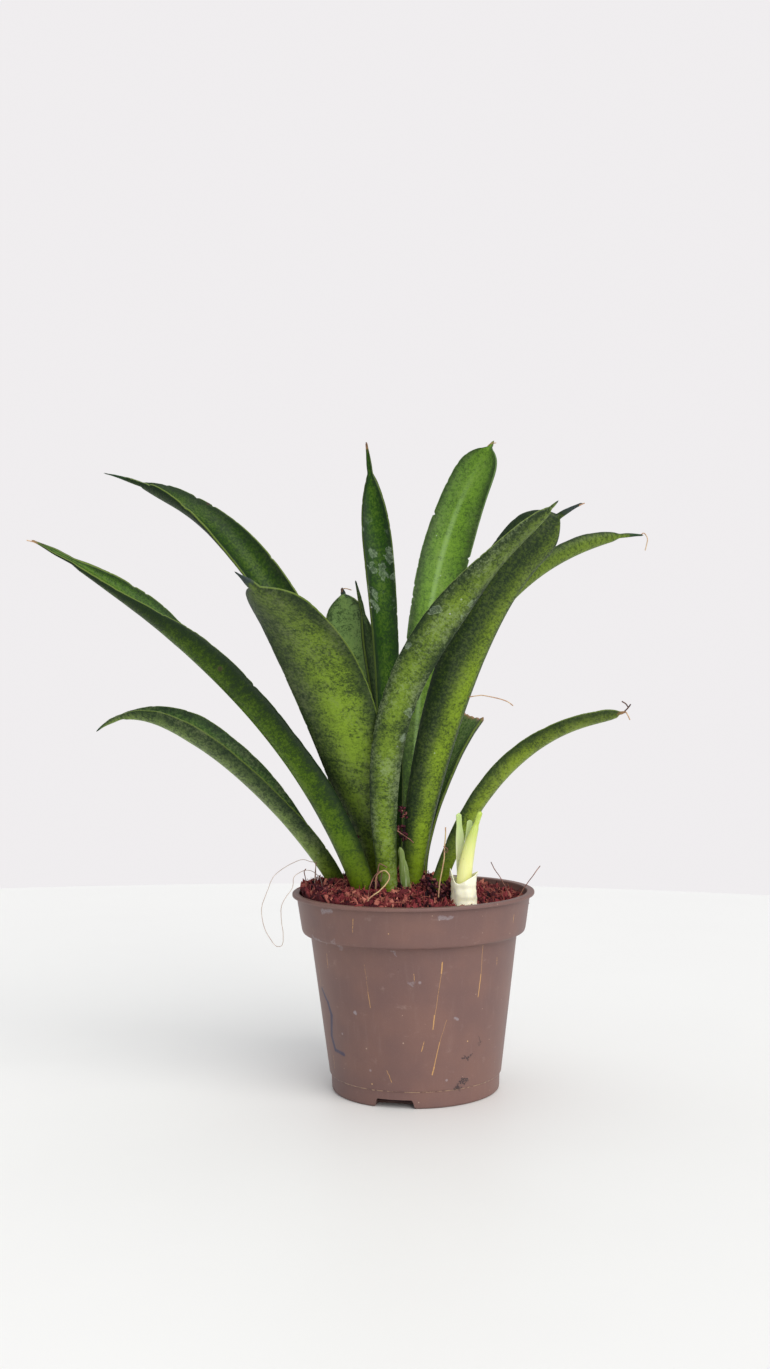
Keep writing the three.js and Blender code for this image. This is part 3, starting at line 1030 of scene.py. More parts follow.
class BladeTree:
    """The Geometry Nodes tree that grows a leaf from its sizes."""

    PATH = ("Root", "Root Handle", "Tip Handle", "Tip")
    FACING = ("Facing Root", "Facing Middle", "Facing Tip")
    CURL = ("Curl Root", "Curl Middle", "Curl Tip")
    EDGE_RATIO = 0.3
    CHANNEL_SINK = 0.4
    SPIKE_END = 0.44 * MM
    CLOSING = 0.9 * MM
    LEAST_HALF = 0.02 * MM
    TRIMMED_HALF = 2 * MM
    EDGE_POWER = 24.0
    TRIM_POWER = 10.0
    WAVE_POWER = 3.0

    def __init__(self) -> None:
        """Makes the tree with its named inputs."""
        numbers = (
            "Half Width", "Base", "Widest", "Blunt", "Spike", "Spike Half", "Thickness", "Ripple",
            "Nibble", "Ragged", "Cut", "Seed",
        )
        inputs: dict[str, object] = {name: (0.0,) * 3 for name in self.PATH + self.FACING}
        inputs |= {name: 0.0 for name in self.CURL + numbers}
        self.graph = Graph.geometry_tree("leaf_blade", inputs | {"Rows": 240, "Around": 49})
        self.build()

    def eased(self, names: Sequence[str], s: Wire, first_end: float, second_start: float) -> Wire:
        """Eases between the inputs for root, middle and tip.

        Args:
            names: The three inputs.
            s: The fraction of the leaf's length.
            first_end: Where the middle value is reached.
            second_start: Where it starts to leave for the tip's value.

        Returns:
            The value at s.
        """
        graph = self.graph
        root, middle, tip = (graph[name] for name in names)
        early = graph.span(s, 0.0, first_end)
        late = graph.span(s, second_start, 1.0)
        return root + (middle - root) * early + (tip - middle) * late

    def half_width(self, s: Wire, length: Wire) -> Wire:
        """Returns the unrolled half width at the fraction s of the length.

        Args:
            s: The fraction of the leaf's length.
            length: The length, in metres.

        Returns:
            The half width, in metres.
        """
        graph = self.graph
        widest = graph["Widest"]
        shoulder = 1.0 - graph["Spike"] / length
        before = graph.math("MAXIMUM", 1.0 - s / widest, 0.0)
        rise = 1.0 - (1.0 - graph["Base"]) * before * before
        after = graph.clamped((s - widest) / (shoulder - widest))
        fall = graph.between(graph["Cut"], 1.0 - after ** graph["Blunt"], 1.0)
        spike = graph.between(graph.span(s, shoulder, 1.0), graph["Spike Half"], self.SPIKE_END)
        return graph.math("MAXIMUM", graph["Half Width"] * rise * fall, spike)

    def closing(self, s: Wire, length: Wire) -> Wire:
        """Returns 1 along the leaf, falling in a quarter circle to 0 over its last stretch.

        Args:
            s: The fraction of the leaf's length.
            length: The length, in metres.

        Returns:
            The share.
        """
        left = self.graph.math("MINIMUM", (1.0 - s) * length / self.CLOSING, 1.0)
        inside = self.graph.math("MAXIMUM", 1.0 - (1.0 - left) * (1.0 - left), 0.0)
        return self.graph.math("SQRT", inside)

    def build(self) -> None:
        """Wires the whole tree."""
        graph = self.graph
        curve = graph.wire(
            "GeometryNodeCurvePrimitiveBezierSegment",
            {
                "Resolution": 160, "Start": graph["Root"], "Start Handle": graph["Root Handle"],
                "End Handle": graph["Tip Handle"], "End": graph["Tip"],
            },
            mode="POSITION",
        )
        length = graph.wire("GeometryNodeCurveLength", {"Curve": curve})
        sheet = graph.wire(
            "GeometryNodeMeshGrid",
            {
                "Size X": 1.0, "Size Y": 1.0,
                "Vertices X": graph["Around"], "Vertices Y": graph["Rows"],
            },
        )
        x, y, _ = graph.parts(graph.wire("GeometryNodeInputPosition", {}))
        u, s = x + 0.5, y + 0.5
        ramp = 1.0 - abs(u * 4.0 - 2.0)
        v = graph.math("SINE", ramp * (math.pi / 2))
        inner = graph.math("LESS_THAN", u, 0.5)
        seed = graph["Seed"]

        wild = graph.cloud(graph.xyz(v * 1.4, seed * 3.7), 2.2, 3.0) - 0.5
        reached = s + wild * graph["Ragged"] * 4.0 / length * graph.span(s, 0.9, 1.0)
        sampled = graph.node(
            "GeometryNodeSampleCurve", {"Curves": curve, "Factor": reached},
            mode="FACTOR", use_all_curves=True,
        )
        centre = Wire(graph, sampled.outputs["Position"])
        tangent = Wire(graph, sampled.outputs["Tangent"])
        looks = self.eased(self.FACING, s, 0.5, 0.5)
        inward = graph.vector("NORMALIZE", looks - tangent * graph.dot(looks, tangent))
        across = graph.vector("CROSS_PRODUCT", tangent, inward)

        closed = self.closing(s, length)
        whole = graph.math("MAXIMUM", closed, graph["Cut"])
        half = self.half_width(s, length) * whole
        curl = self.eased(self.CURL, s, 0.35, 0.7)
        radius = graph.math("MAXIMUM", half, self.LEAST_HALF) / curl
        away = abs(v)
        rounding = graph.math("SQRT", graph.math("MAXIMUM", 1.0 - v * v, 0.0))
        edge = graph.math("SQRT", graph.math("MAXIMUM", 1.0 - away ** self.EDGE_POWER, 0.0))
        flank = edge * self.EDGE_RATIO + rounding * (1.0 - self.EDGE_RATIO)
        thick = graph.math("MINIMUM", graph["Thickness"], half * 0.9)
        offset = thick * flank * closed * (inner - 0.5)

        along_mm = s * length / MM
        side = graph.math("SIGN", v)
        row = graph.xyz(along_mm * 0.11, side * 3.0, seed * 5.3)
        bitten = graph.cloud(graph.xyz(along_mm * 0.42, side * 9.0, seed * 2.1), 1.0, 2.0)
        bites = graph.span(bitten, 0.56, 0.7)
        wobble = (graph.cloud(row, 1.0, 3.0) - 0.5) * graph["Ripple"] * 2.4
        trim = (bites * graph["Nibble"] + abs(wobble) * 0.7) * away ** self.TRIM_POWER
        narrowed = v * (1.0 - trim / graph.math("MAXIMUM", half, self.TRIMMED_HALF))
        turn = curl * narrowed
        reach = radius - offset
        sink = radius * (1.0 - graph.math("COSINE", curl)) * self.CHANNEL_SINK
        lift = radius - sink - reach * graph.math("COSINE", turn)
        lift = lift + wobble * away ** self.WAVE_POWER * graph.span(s, 0.08, 0.3)
        spot = centre + across * (reach * graph.math("SINE", turn)) + inward * lift

        place = graph.xyz(v * half / MM, along_mm, seed * 11.0)
        for name, value in (("across", v), ("along", s), ("inner", inner), ("place", place)):
            sheet = graph.marked(sheet, "leaf_" + name, value)
        shaped = graph.wire("GeometryNodeSetPosition", {"Geometry": sheet, "Position": spot})
        merged = graph.wire("GeometryNodeMergeByDistance", {"Geometry": shaped, "Distance": 1e-6})
        smooth = graph.wire("GeometryNodeSetShadeSmooth", {"Geometry": merged})
        graph.end(smooth)

    def grow(
        self, name: str, blade: Blade, material: Material,
        offset: Point = (0, 0, 0), rows: int = 240, around: int = 49,
    ) -> Object:
        """Grows one leaf as a plain mesh object.

        Args:
            name: The object's name.
            blade: The leaf's sizes.
            material: The leaf's material.
            offset: Added to the path's points, in millimetres.
            rows: Number of rows along the leaf.
            around: Number of points round it.

        Returns:
            The leaf.
        """
        values = blade.inputs(offset) | {"Rows": rows, "Around": around, "Material": material}
        piece = link_object(name, bpy.data.meshes.new(name))
        grown(piece, self.graph, values)
        turn_outwards(piece.data)
        return piece


@dataclass
class Leaf:
    """A leaf of the plant: the CAD node that it stands for, its shape and its finish."""

    node: str
    blade: Blade
    finish: LeafFinish

    def build(self, tree: BladeTree) -> Object:
        """Grows, dresses and fixes the leaf.

        Args:
            tree: The tree that grows leaves.

        Returns:
            The leaf.
        """
        piece = tree.grow(self.node + "_blade", self.blade, self.finish.material(self.node))
        finish_piece(piece, "leaf", [self.node], None)
        self.compare(piece)
        return piece

    def compare(self, piece: Object) -> None:
        """Logs how far the leaf's box is from the CAD node's box.

        Args:
            piece: The grown leaf.
        """
        low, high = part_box(self.node)
        spots = [v.co for v in piece.data.vertices]
        gaps = [abs(min(p[i] for p in spots) - low[i]) for i in range(3)]
        gaps += [abs(max(p[i] for p in spots) - high[i]) for i in range(3)]
        LOG.info("%s: box within %.1f mm of the frame's", piece.name, max(gaps) / MM)


LEAVES: tuple[Leaf, ...] = (
    Leaf("leaf_low_left", Blade(
        path=((-26, 4, 70), (-38, 2, 98), (-90, -9, 160), (-115, -12, 134)),
        facing=((0.9, 0.3, 0.4), (0.7, -0.1, 0.7), (-0.7, -0.15, 0.7)),
        half_width=13.6, base=0.45, widest=0.68, curl=(80, 72, 88), spike=8, blunt=1.4, seed=1,
        spike_half=1.8,
    ), LeafFinish(
        glow=(0.27, 0.4, 0.08), deep=(0.055, 0.092, 0.028), inner=(0.03, 0.095, 0.008), bloom=0.4,
        mottle=0.9, tip=TipEnd.GREEN,
    )),
    Leaf("leaf_long_left", Blade(
        path=((-16, -18, 67), (-30, -24, 123), (-79, -26, 176), (-133.5, -30, 202.5)),
        facing=((0.4, 0.9, 0.2), (0.7, 0.4, 0.6), (0.3, -0.8, 0.5)),
        half_width=10.4, base=0.47, widest=0.66, curl=(80, 85, 105), spike=11, blunt=1.4, seed=2,
        spike_half=1.5, ripple=0.5, nibble=0.4,
    ), LeafFinish(
        glow=(0.072, 0.15, 0.002), deep=(0.01, 0.026, 0.003), bloom=0.02, bands=0.6, scars=0.7,
        tip=TipEnd.DRY, tip_from=0.982,
    )),
    Leaf("leaf_upper_left", Blade(
        path=((-15, 5, 69), (-19, 6, 127), (-43, 12, 216), (-116, 15, 232)),
        facing=((0.8, -0.6, 0.1), (0.1, -1, 0.1), (0.2, -0.1, 1)),
        half_width=8.2, base=0.48, widest=0.85, curl=(70, 60, 78), spike=14, blunt=2.5, seed=3,
        spike_half=1.9, ripple=0.6, nibble=0.6,
    ), LeafFinish(
        glow=(0.034, 0.09, 0.002), inner=(0.014, 0.042, 0.003), deep=(0.008, 0.024, 0.004), bands=0.8,
        bloom=0.1, scars=0.9, darkening=0.4, tip=TipEnd.GREEN, tip_from=0.95,
    )),
    Leaf("leaf_wide_front", Blade(
        path=((-11, -8, 70), (-20, -15, 112), (-23, -41, 163), (-58, -71, 187.5)),
        facing=((0.5, 0.85, 0.3), (0.25, 0.85, 0.5), (0.4, 0.25, 0.9)),
        half_width=15.4, base=0.34, widest=0.8, curl=(60, 18, 34), spike=9, blunt=4.6, seed=4,
        spike_half=2.6,
    ), LeafFinish(
        glow=(0.235, 0.375, 0.022), deep=(0.044, 0.07, 0.018), lean=-0.16, bands=0.7, bloom=0.3,
        glow_peak=0.55, glow_reach=0.38, darkening=0.85, mottle=0.85, tip_from=0.94,
    )),
    Leaf("leaf_front_middle", Blade(
        path=((-8.5, -19, 68), (-14, -35, 133.5), (-12.5, -46, 157.5), (50, -52, 211.5)),
        facing=((0, 1, 0.2), (0.1, 1, 0.2), (-0.6, 0.2, 0.75)),
        half_width=6.9, base=0.47, widest=0.8, curl=(70, 25, 50), spike=3, blunt=6, seed=5, nibble=0.4,
    ), LeafFinish(
        glow=(0.165, 0.26, 0.02), deep=(0.04, 0.064, 0.018), bloom_colour=(0.27, 0.34, 0.16), bands=0.45,
        bloom=0.45, darkening=0.4, mottle=0.9, marks=0.18, marks_from=0.3, marks_to=0.95, tip_from=0.985,
    )),
    Leaf("leaf_front_right", Blade(
        path=((-1, -12, 68), (1, -22, 112), (20, -30, 197), (60, -38, 212)),
        facing=((-0.35, 0.9, 0.2), (-0.1, 1, 0.2), (-0.1, 0.95, 0.3)),
        half_width=10.6, base=0.33, widest=0.84, curl=(70, 65, 40), spike=9, blunt=3.2, seed=6,
    ), LeafFinish(
        glow=(0.225, 0.345, 0.014), deep=(0.022, 0.04, 0.013), lean=-0.34, glow_width=0.72, bands=0.35,
        bloom=0.15, darkening=0.4, mottle=0.8, tip_from=0.95,
    )),
    Leaf("leaf_centre_spear", Blade(
        path=((-7.5, 8, 68), (-8, 13, 127), (-8.5, 16, 184), (-15.5, 18, 243)),
        facing=((0, -1, 0.1), (0.5, -0.85, 0.1), (-0.3, -0.95, 0)),
        half_width=6.2, base=0.66, widest=0.74, curl=(75, 42, 50), spike=10, blunt=3, seed=7,
    ), LeafFinish(
        glow=(0.044, 0.122, 0.003), inner=(0.012, 0.048, 0.003), bloom=0.06, marks=0.8, marks_from=0.56,
        marks_to=0.84, rim_amount=0.4, tip=TipEnd.DRY, tip_from=0.975,
    )),
    Leaf("leaf_tall_right", Blade(
        path=((-2, 15, 69), (4.5, 22, 128), (1.5, 43, 192), (36, 50, 248)),
        facing=((0, -1, 0.1), (0.35, -0.9, 0.15), (-0.4, -0.8, 0.4)),
        half_width=10.1, base=0.38, widest=0.8, curl=(70, 20, 40), spike=3, blunt=8, seed=8, nibble=0.9,
    ), LeafFinish(
        # The dark base colour over the lower 120 mm is painted shade where the leaves in front shade it,
        # and the pale line along the middle is a painted highlight.
        glow=(0.21, 0.4, 0.028), inner=(0.082, 0.175, 0.018), rim=(0.25, 0.4, 0.13), stripe=0.75,
        base=(0.004, 0.012, 0.004), base_length=120, mottle=0.6, bands=0.4, bloom=0.2, rim_amount=0.35,
        tip=TipEnd.DRY, tip_from=0.985,
    )),
    Leaf("leaf_right_upper", Blade(
        path=((0, 1, 69), (-11, 1, 123.5), (32, 14, 209), (92, 26, 206.5)),
        facing=((-1, 0, 0), (-0.85, 0, 0.5), (-0.1, 0.6, 0.8)),
        half_width=6.4, base=0.62, widest=0.67, curl=(80, 95, 105), spike=8, blunt=5, seed=9,
    ), LeafFinish(
        glow=(0.23, 0.34, 0.034), deep=(0.055, 0.09, 0.014), bloom=0.2, tip=TipEnd.GREEN, tip_from=0.955,
    )),
    Leaf("leaf_low_right", Blade(
        path=((6, -15, 68), (18, -15, 105), (36, -20, 134.5), (76, -26, 139)),
        facing=((-0.8, 0.5, 0.35), (-0.55, 0.6, 0.6), (-0.1, 0.1, 1)),
        half_width=6.4, base=0.66, widest=0.82, curl=(80, 48, 62), spike=2, blunt=6, seed=10, ragged=1.0,
    ), LeafFinish(
        glow=(0.25, 0.355, 0.018), deep=(0.062, 0.098, 0.014), bloom=0.2, tip=TipEnd.DRY,
    )),
    Leaf("leaf_short_back", Blade(
        path=((-12, 20, 71), (-16, 27, 109), (-20, 33, 147), (-26, 37, 188)),
        facing=((0, -1, 0.2), (-0.1, -1, 0.1), (-0.4, -0.9, 0)),
        half_width=9.4, base=0.45, widest=0.82, curl=(70, 30, 30), spike=2, blunt=4.5, seed=11,
    ), LeafFinish(
        glow=(0.26, 0.4, 0.11), inner=(0.165, 0.275, 0.085), bands=1.0, mottle=0.8, bloom=0.3,
        tip_from=0.97, darkening=0.3,
    )),
    Leaf("leaf_narrow_back", Blade(
        path=((-10, 14, 71), (-6, 20, 113), (-12, 25, 152), (-20.5, 27, 190.5)),
        facing=((0.35, -0.95, 0.1), (0.5, -0.8, 0.15), (0.5, -0.8, 0.2)),
        half_width=5, base=0.6, widest=0.6, curl=(75, 62, 58), spike=11, blunt=3, seed=12,
    ), LeafFinish(
        glow=(0.08, 0.14, 0.035), inner=(0.05, 0.09, 0.028), bloom=0.3, tip=TipEnd.GREEN,
    )),
    Leaf("leaf_cut_back", Blade(
        path=((3, 19, 71), (0, 23, 92), (11, 28, 118.5), (26, 34.5, 136.5)),
        facing=((-0.5, -0.85, 0.1), (-0.45, -0.8, 0.35), (-0.55, -0.5, 0.67)),
        half_width=8, base=0.56, widest=0.83, curl=(80, 58, 45), spike=2, blunt=4, cut=True, seed=13,
        ragged=1.2,
    ), LeafFinish(
        glow=(0.12, 0.165, 0.055), deep=(0.075, 0.105, 0.04), bloom=0.4, tip=TipEnd.DRY, tip_from=0.972,
    )),
)


# ---- pot


@dataclass(frozen=True)
class Mark:
    """A line on the pot's outside. Its ends are degrees round from the front and millimetres up."""

    start: tuple[float, float]
    end: tuple[float, float]
    width: float
    colour: Colour
    strength: float = 0.9
    waver: float = 0.2
    broken: float = 1.0


SCRATCH = (0.60, 0.34, 0.12)
INK = (0.050, 0.042, 0.085)
SMUDGE = (0.030, 0.024, 0.028)
LIME = (0.33, 0.29, 0.31)

POT_MARKS: tuple[Mark, ...] = (
    Mark((14.2, 52.8), (13.8, 49.0), 0.30, SCRATCH, 1.0, 0.1, 0.2),
    Mark((13.8, 49.0), (9.8, 30.0), 0.15, SCRATCH, 0.55, 0.15, 0.6),
    Mark((10.3, 34.0), (9.5, 29.0), 0.26, SCRATCH, 0.9, 0.1, 0.3),
    Mark((17.6, 32.0), (13.6, 24.0), 0.14, SCRATCH, 0.45, 0.15, 0.6),
    Mark((13.6, 24.0), (10.4, 15.0), 0.22, SCRATCH, 0.85, 0.1, 0.2),
    Mark((10.6, 15.2), (9.4, 12.5), 0.32, SCRATCH, 1.0, 0.15, 0.4),
    Mark((38.4, 57.4), (38.7, 46.7), 0.15, SCRATCH, 0.6, 0.15, 0.5),
    Mark((38.6, 47.0), (37.7, 39.0), 0.24, SCRATCH, 0.95, 0.1, 0.2),
    Mark((-28.5, 51.8), (-27.6, 42.0), 0.12, SCRATCH, 0.4),
    Mark((-27.6, 42.0), (-26.9, 36.3), 0.20, SCRATCH, 0.75, 0.1, 0.4),
    Mark((-30.4, 68.4), (-31.4, 63.4), 0.18, SCRATCH, 0.7),
    Mark((-18.8, 13.9), (-16.1, 9.7), 0.17, SCRATCH, 0.75, 0.2, 0.4),
    Mark((4.4, 24.6), (2.7, 21.0), 0.20, SCRATCH, 0.85),
    Mark((-1.2, 49.0), (-1.1, 46.3), 0.16, SCRATCH, 0.7),
    Mark((-57.0, 53.6), (-57.4, 48.3), 0.18, SCRATCH, 0.7),
    Mark((-70.6, 48.0), (-71.9, 39.0), 0.18, SCRATCH, 0.5),
    Mark((50.9, 52.0), (51.5, 49.0), 0.20, SCRATCH, 0.7),
    Mark((55.9, 67.0), (56.2, 64.3), 0.20, SCRATCH, 0.7),
    Mark((-65.4, 14.9), (-66.4, 9.9), 0.18, SCRATCH, 0.6),
    Mark((150.0, 52.0), (148.5, 41.0), 0.20, SCRATCH, 0.7),
    Mark((-128.0, 34.0), (-129.5, 22.0), 0.18, SCRATCH, 0.6),
    Mark((-69.9, 39.3), (-62.9, 34.7), 0.9, INK, 0.95, 0.15, 0.0),
    Mark((-62.9, 34.7), (-60.2, 30.6), 1.2, INK, 0.95, 0.15, 0.0),
    Mark((-60.2, 30.6), (-64.0, 22.7), 1.3, INK, 0.95, 0.15, 0.0),
    Mark((-64.0, 22.7), (-61.1, 17.9), 1.3, INK, 0.95, 0.15, 0.0),
    Mark((-61.1, 17.9), (-51.3, 17.1), 1.0, INK, 0.9, 0.15, 0.2),
    Mark((28.5, 17.0), (34.8, 17.8), 0.75, SMUDGE, 0.8, 1.2),
    Mark((31.2, 18.5), (33.2, 16.4), 0.75, SMUDGE, 0.8, 1.0),
    Mark((40.6, 24.3), (42.7, 22.0), 0.75, SMUDGE, 0.5, 1.2),
    Mark((25.1, 6.9), (30.0, 7.2), 0.80, SMUDGE, 0.75, 1.2),
    Mark((28.2, 8.9), (33.5, 8.6), 0.85, SMUDGE, 0.85, 1.2),
    Mark((26.4, 7.9), (28.5, 5.4), 0.80, SMUDGE, 0.75, 1.0),
    Mark((-49.6, 69.7), (-43.6, 70.2), 1.15, LIME, 0.6, 0.8, 0.5),
    Mark((11.0, 69.1), (16.5, 69.3), 1.00, LIME, 0.55, 0.8, 0.5),
    Mark((-61.9, 59.6), (-55.2, 57.9), 0.90, LIME, 0.5, 0.8),
    Mark((-44.6, 59.4), (-43.2, 56.5), 0.90, LIME, 0.4, 0.8),
    Mark((-12.6, 57.0), (-10.2, 55.8), 0.70, LIME, 0.45, 0.8),
    Mark((-38.0, 33.7), (-37.4, 33.5), 0.85, LIME, 0.75, 0.3, 0.0),
    Mark((22.2, 32.2), (24.8, 31.9), 0.60, LIME, 0.6, 0.4, 0.3),
    Mark((-4.0, 46.0), (-1.3, 45.4), 0.90, LIME, 0.4, 0.8),
)


@dataclass(frozen=True)
class PotFinish:
    """Moulded taupe plastic, satin, scuffed and a little dusty."""

    ground: Colour = (0.180, 0.097, 0.082)
    warm: Colour = (0.212, 0.112, 0.090)
    cool: Colour = (0.148, 0.084, 0.079)
    dust: Colour = (0.40, 0.29, 0.25)
    foot_line: Colour = (0.62, 0.42, 0.27)
    specks: tuple[tuple[float, float, float, Colour, float], ...] = (
        (2.6, 0.10, 0.22, (0.50, 0.36, 0.27), 0.7),
        (5.5, 0.06, 0.35, (0.70, 0.45, 0.20), 0.8),
        (9.0, 0.07, 0.30, (0.36, 0.30, 0.31), 0.55),
        (7.0, 0.05, 0.25, (0.03, 0.02, 0.02), 0.6),
    )
    unroll_radius: float = 37.0
    roughness: float = 0.46

    def material(self, foot_top: float) -> Material:
        """Makes the plastic.

        Args:
            foot_top: Height of the line round the foot, in millimetres.

        Returns:
            The material.
        """
        material, graph, shader = new_material("pot_plastic")
        spot = graph.object_place()
        x, y, z = graph.parts(spot * 1000.0)
        round_degrees = graph.math("ARCTAN2", x, y * -1.0) * (180 / math.pi)
        millimetres_per_degree = self.unroll_radius * math.pi / 180
        place = graph.xyz(round_degrees * millimetres_per_degree, z)

        cloud = graph.cloud(graph.xyz(x, y, z), 0.05, 3.0, 0.55)
        grain = graph.cloud(graph.xyz(x, y, z), 3.5, 2.0, 0.6)
        streak = graph.cloud(graph.xyz(x, y, z * 0.03), 0.55, 4.0, 0.65)
        colour = graph.tint(graph.span(cloud, 0.3, 0.7), self.cool, self.warm)
        colour = graph.tint(0.45, colour, self.ground)
        colour = graph.tint(graph.span(streak, 0.55, 0.75) * 0.07, colour, self.dust)
        colour = graph.tint(graph.span(streak, 0.45, 0.3) * 0.10, colour, self.cool)
        colour = graph.tint(graph.span(grain, 0.5, 0.8) * 0.12, colour, self.dust)

        film = graph.cloud(graph.xyz(x, y, z * 1.6), 0.16, 4.0, 0.7)
        film_mask = graph.span(film, 0.6, 0.78) * 0.3
        colour = graph.tint(film_mask, colour, self.dust)
        line = graph.span(abs(z - foot_top - 0.15), 0.35, 0.08)
        broken = graph.span(graph.cloud(graph.xyz(x, y, z), 0.5, 3.0, 0.7), 0.42, 0.58)
        colour = graph.tint(line * broken * 0.6, colour, self.foot_line)

        for spacing, size, share, speck, strength in self.specks:
            mask = graph.speckled(graph.xyz(x, y, z), spacing, size, share)
            colour = graph.tint(mask * strength, colour, speck)
        marks: Wire | None = None
        for mark in POT_MARKS:
            mask = self.marked(graph, place, mark, millimetres_per_degree)
            colour = graph.tint(mask * mark.strength, colour, mark.colour)
            marks = mask if marks is None else graph.math("MAXIMUM", marks, mask)
        graph.feed(shader.inputs["Base Color"], colour)
        graph.feed(shader.inputs["Roughness"], (grain - 0.5) * 0.12 + self.roughness + film_mask * 0.5)
        height = grain * 0.25 + streak * 0.3 - marks * 0.8
        add_bump(graph, shader, height, 0.3, 0.15 * MM)
        shader.inputs["Specular IOR Level"].default_value = 0.35
        return material

    @staticmethod
    def marked(graph: Graph, place: Wire, mark: Mark, scale: float) -> Wire:
        """Returns the mask of one mark.

        Args:
            graph: The material's graph.
            place: The unrolled place on the pot.
            mark: The mark.
            scale: Millimetres for each degree round the pot.

        Returns:
            The mask, 1 on the mark.
        """
        values: dict[str | int, Value] = {
            "Place": place, "Width": mark.width, "Waver": mark.waver, "Broken": mark.broken,
            "Start": (mark.start[0] * scale, mark.start[1], 0.0),
            "End": (mark.end[0] * scale, mark.end[1], 0.0),
        }
        return Wire(graph, graph.place(values, Shared.stroke()).outputs["Mask"])


@dataclass
class Pot:
    """The nursery pot. Lengths are millimetres, and its height and rim come from the frame."""

    wall: float = 1.2
    floor: float = 1.6
    foot_radius: float = 31.1
    foot_height: float = 6.0
    body_low: float = 31.9
    body_high: float = 38.4
    band_low: float = 41.6
    band_high: float = 43.4
    band_height: float = 14.0
    lip_height: float = 1.3
    slot_angles: tuple[float, ...] = (-15.4, 104.6, 224.6)
    slot_width: float = 15.0
    slot_top: float = 13.4
    slot_height: float = 3.2
    segments: int = 240
    finish: PotFinish = field(default_factory=PotFinish)

    def profile(self) -> list[tuple[float, float]]:
        """Returns the wall's closed profile in metres, with rounded corners.

        Returns:
            Points of radius and height.
        """
        low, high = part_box("pot")
        height = (high.z - low.z) / MM
        rim = (high.x - low.x) / 2 / MM
        lip = height - self.lip_height
        band = lip - self.band_height
        inner_top = self.band_high - self.wall
        corners = [
            (0, 0, 0), (self.foot_radius, 0, 1.1), (self.foot_radius + 0.2, self.foot_height, 0.25),
            (self.body_low, self.foot_height + 0.5, 0.2), (self.body_high, band, 0.9),
            (self.band_low - 0.5, band + 0.5, 1.4), (self.band_low, band + 1.9, 0.8),
            (self.band_high, lip, 0.25), (rim, lip + 0.05, 0.4), (rim, height, 0.45),
            (inner_top + 0.1, height, 0.4), (inner_top, lip, 0.3),
            (self.band_low - self.wall, band + 3.0, 0.8),
            (self.body_high - self.wall, band + self.wall, 0.8),
            (self.body_low - self.wall, self.foot_height, 0.8),
            (self.foot_radius - self.wall - 0.9, self.floor, 0.8), (0, self.floor, 0),
        ]
        return [(r * MM, z * MM) for r, z in rounded(corners)]

    def slot_cutter(self, angle: float) -> Object:
        """Makes the space of one drain slot, which has slanted ends and reaches in from the foot.

        Args:
            angle: Degrees round from the front.

        Returns:
            The space, as an object to cut with.
        """
        half, top, height = self.slot_width / 2, self.slot_top / 2, self.slot_height
        outline = [(-half, -1.0), (half, -1.0), (half, 0.0), (top, height - 0.5), (top - 0.5, height)]
        outline += [(0.5 - top, height), (-top, height - 0.5), (-half, 0.0)]
        near, far = -self.foot_radius - 2, -self.foot_radius + 7
        spin = Matrix.Rotation(math.radians(angle), 3, "Z")
        points = [spin @ Vector((x, y, z)) * MM for y in (near, far) for x, z in outline]
        count = len(outline)
        faces = [list(range(count)), list(range(2 * count - 1, count - 1, -1))]
        faces += [[i, (i + 1) % count, (i + 1) % count + count, i + count] for i in range(count)]
        return link_object("slot_space", mesh_from("slot_space", points, faces))

    def build(self) -> Object:
        """Turns the wall, cuts the drain slots and dresses the pot.

        Returns:
            The pot.
        """
        piece = link_object("pot_shell", turned_mesh("pot_shell", self.profile(), self.segments))
        cutters = [self.slot_cutter(angle) for angle in self.slot_angles]
        for cutter in cutters:
            modifier = piece.modifiers.new("slot", "BOOLEAN")
            modifier.operation = "DIFFERENCE"
            modifier.solver = "EXACT"
            modifier.object = cutter
        depsgraph = bpy.context.evaluated_depsgraph_get()
        cut = bpy.data.meshes.new_from_object(piece.evaluated_get(depsgraph), depsgraph=depsgraph)
        piece.modifiers.clear()
        piece.data = cut
        for cutter in cutters:
            bpy.data.objects.remove(cutter)
        cut.set_sharp_from_angle(angle=math.radians(38))
        finish_piece(piece, "pot_plastic", ["pot"], self.finish.material(self.foot_height))
        return piece


# ---- potting mix


@dataclass(frozen=True)
class CoirFinish:
    """Damp reddish-brown coir. Each chip or fibre has its own shade."""

    dark: Colour = (0.009, 0.002, 0.005)
    middle: Colour = (0.195, 0.029, 0.034)
    light: Colour = (0.620, 0.235, 0.165)
    roughness: float = 0.75
    grain: float = 2600.0
    # depth scales the tone where no shades are stored; below 1 it darkens the coir as painted shade.
    depth: float = 1.0

    def material(self, name: str, shaded: bool = True) -> Material:
        """Makes the coir's material.

        Args:
            name: The material's name.
            shaded: Whether the mesh stores a shade for each chip.

        Returns:
            The material.
        """
        material, graph, shader = new_material(name)
        spot = graph.object_place()
        grain = graph.cloud(spot, self.grain, 3.0, 0.7)
        if shaded:
            shade = graph.stored("coir_shade")
        else:
            _, _, height = graph.parts(spot)
            # Painted shade: the tone darkens lower in the pot, from 76 mm down to 56 mm, and is scaled by
            # depth.
            shade = graph.cloud(spot, 420.0, 2.0) * graph.span(height, 56 * MM, 76 * MM) * self.depth
        amount = shade + (grain - 0.5) * 0.6
        colour = graph.tint(graph.span(amount, 0.0, 0.55), self.dark, self.middle)
        colour = graph.tint(graph.span(amount, 0.62, 1.15), colour, self.light)
        graph.feed(shader.inputs["Base Color"], colour)
        graph.feed(shader.inputs["Roughness"], (grain - 0.5) * 0.3 + self.roughness)
        add_bump(graph, shader, grain, 0.6, 0.3 * MM)
        shader.inputs["Specular IOR Level"].default_value = 0.15
        return material


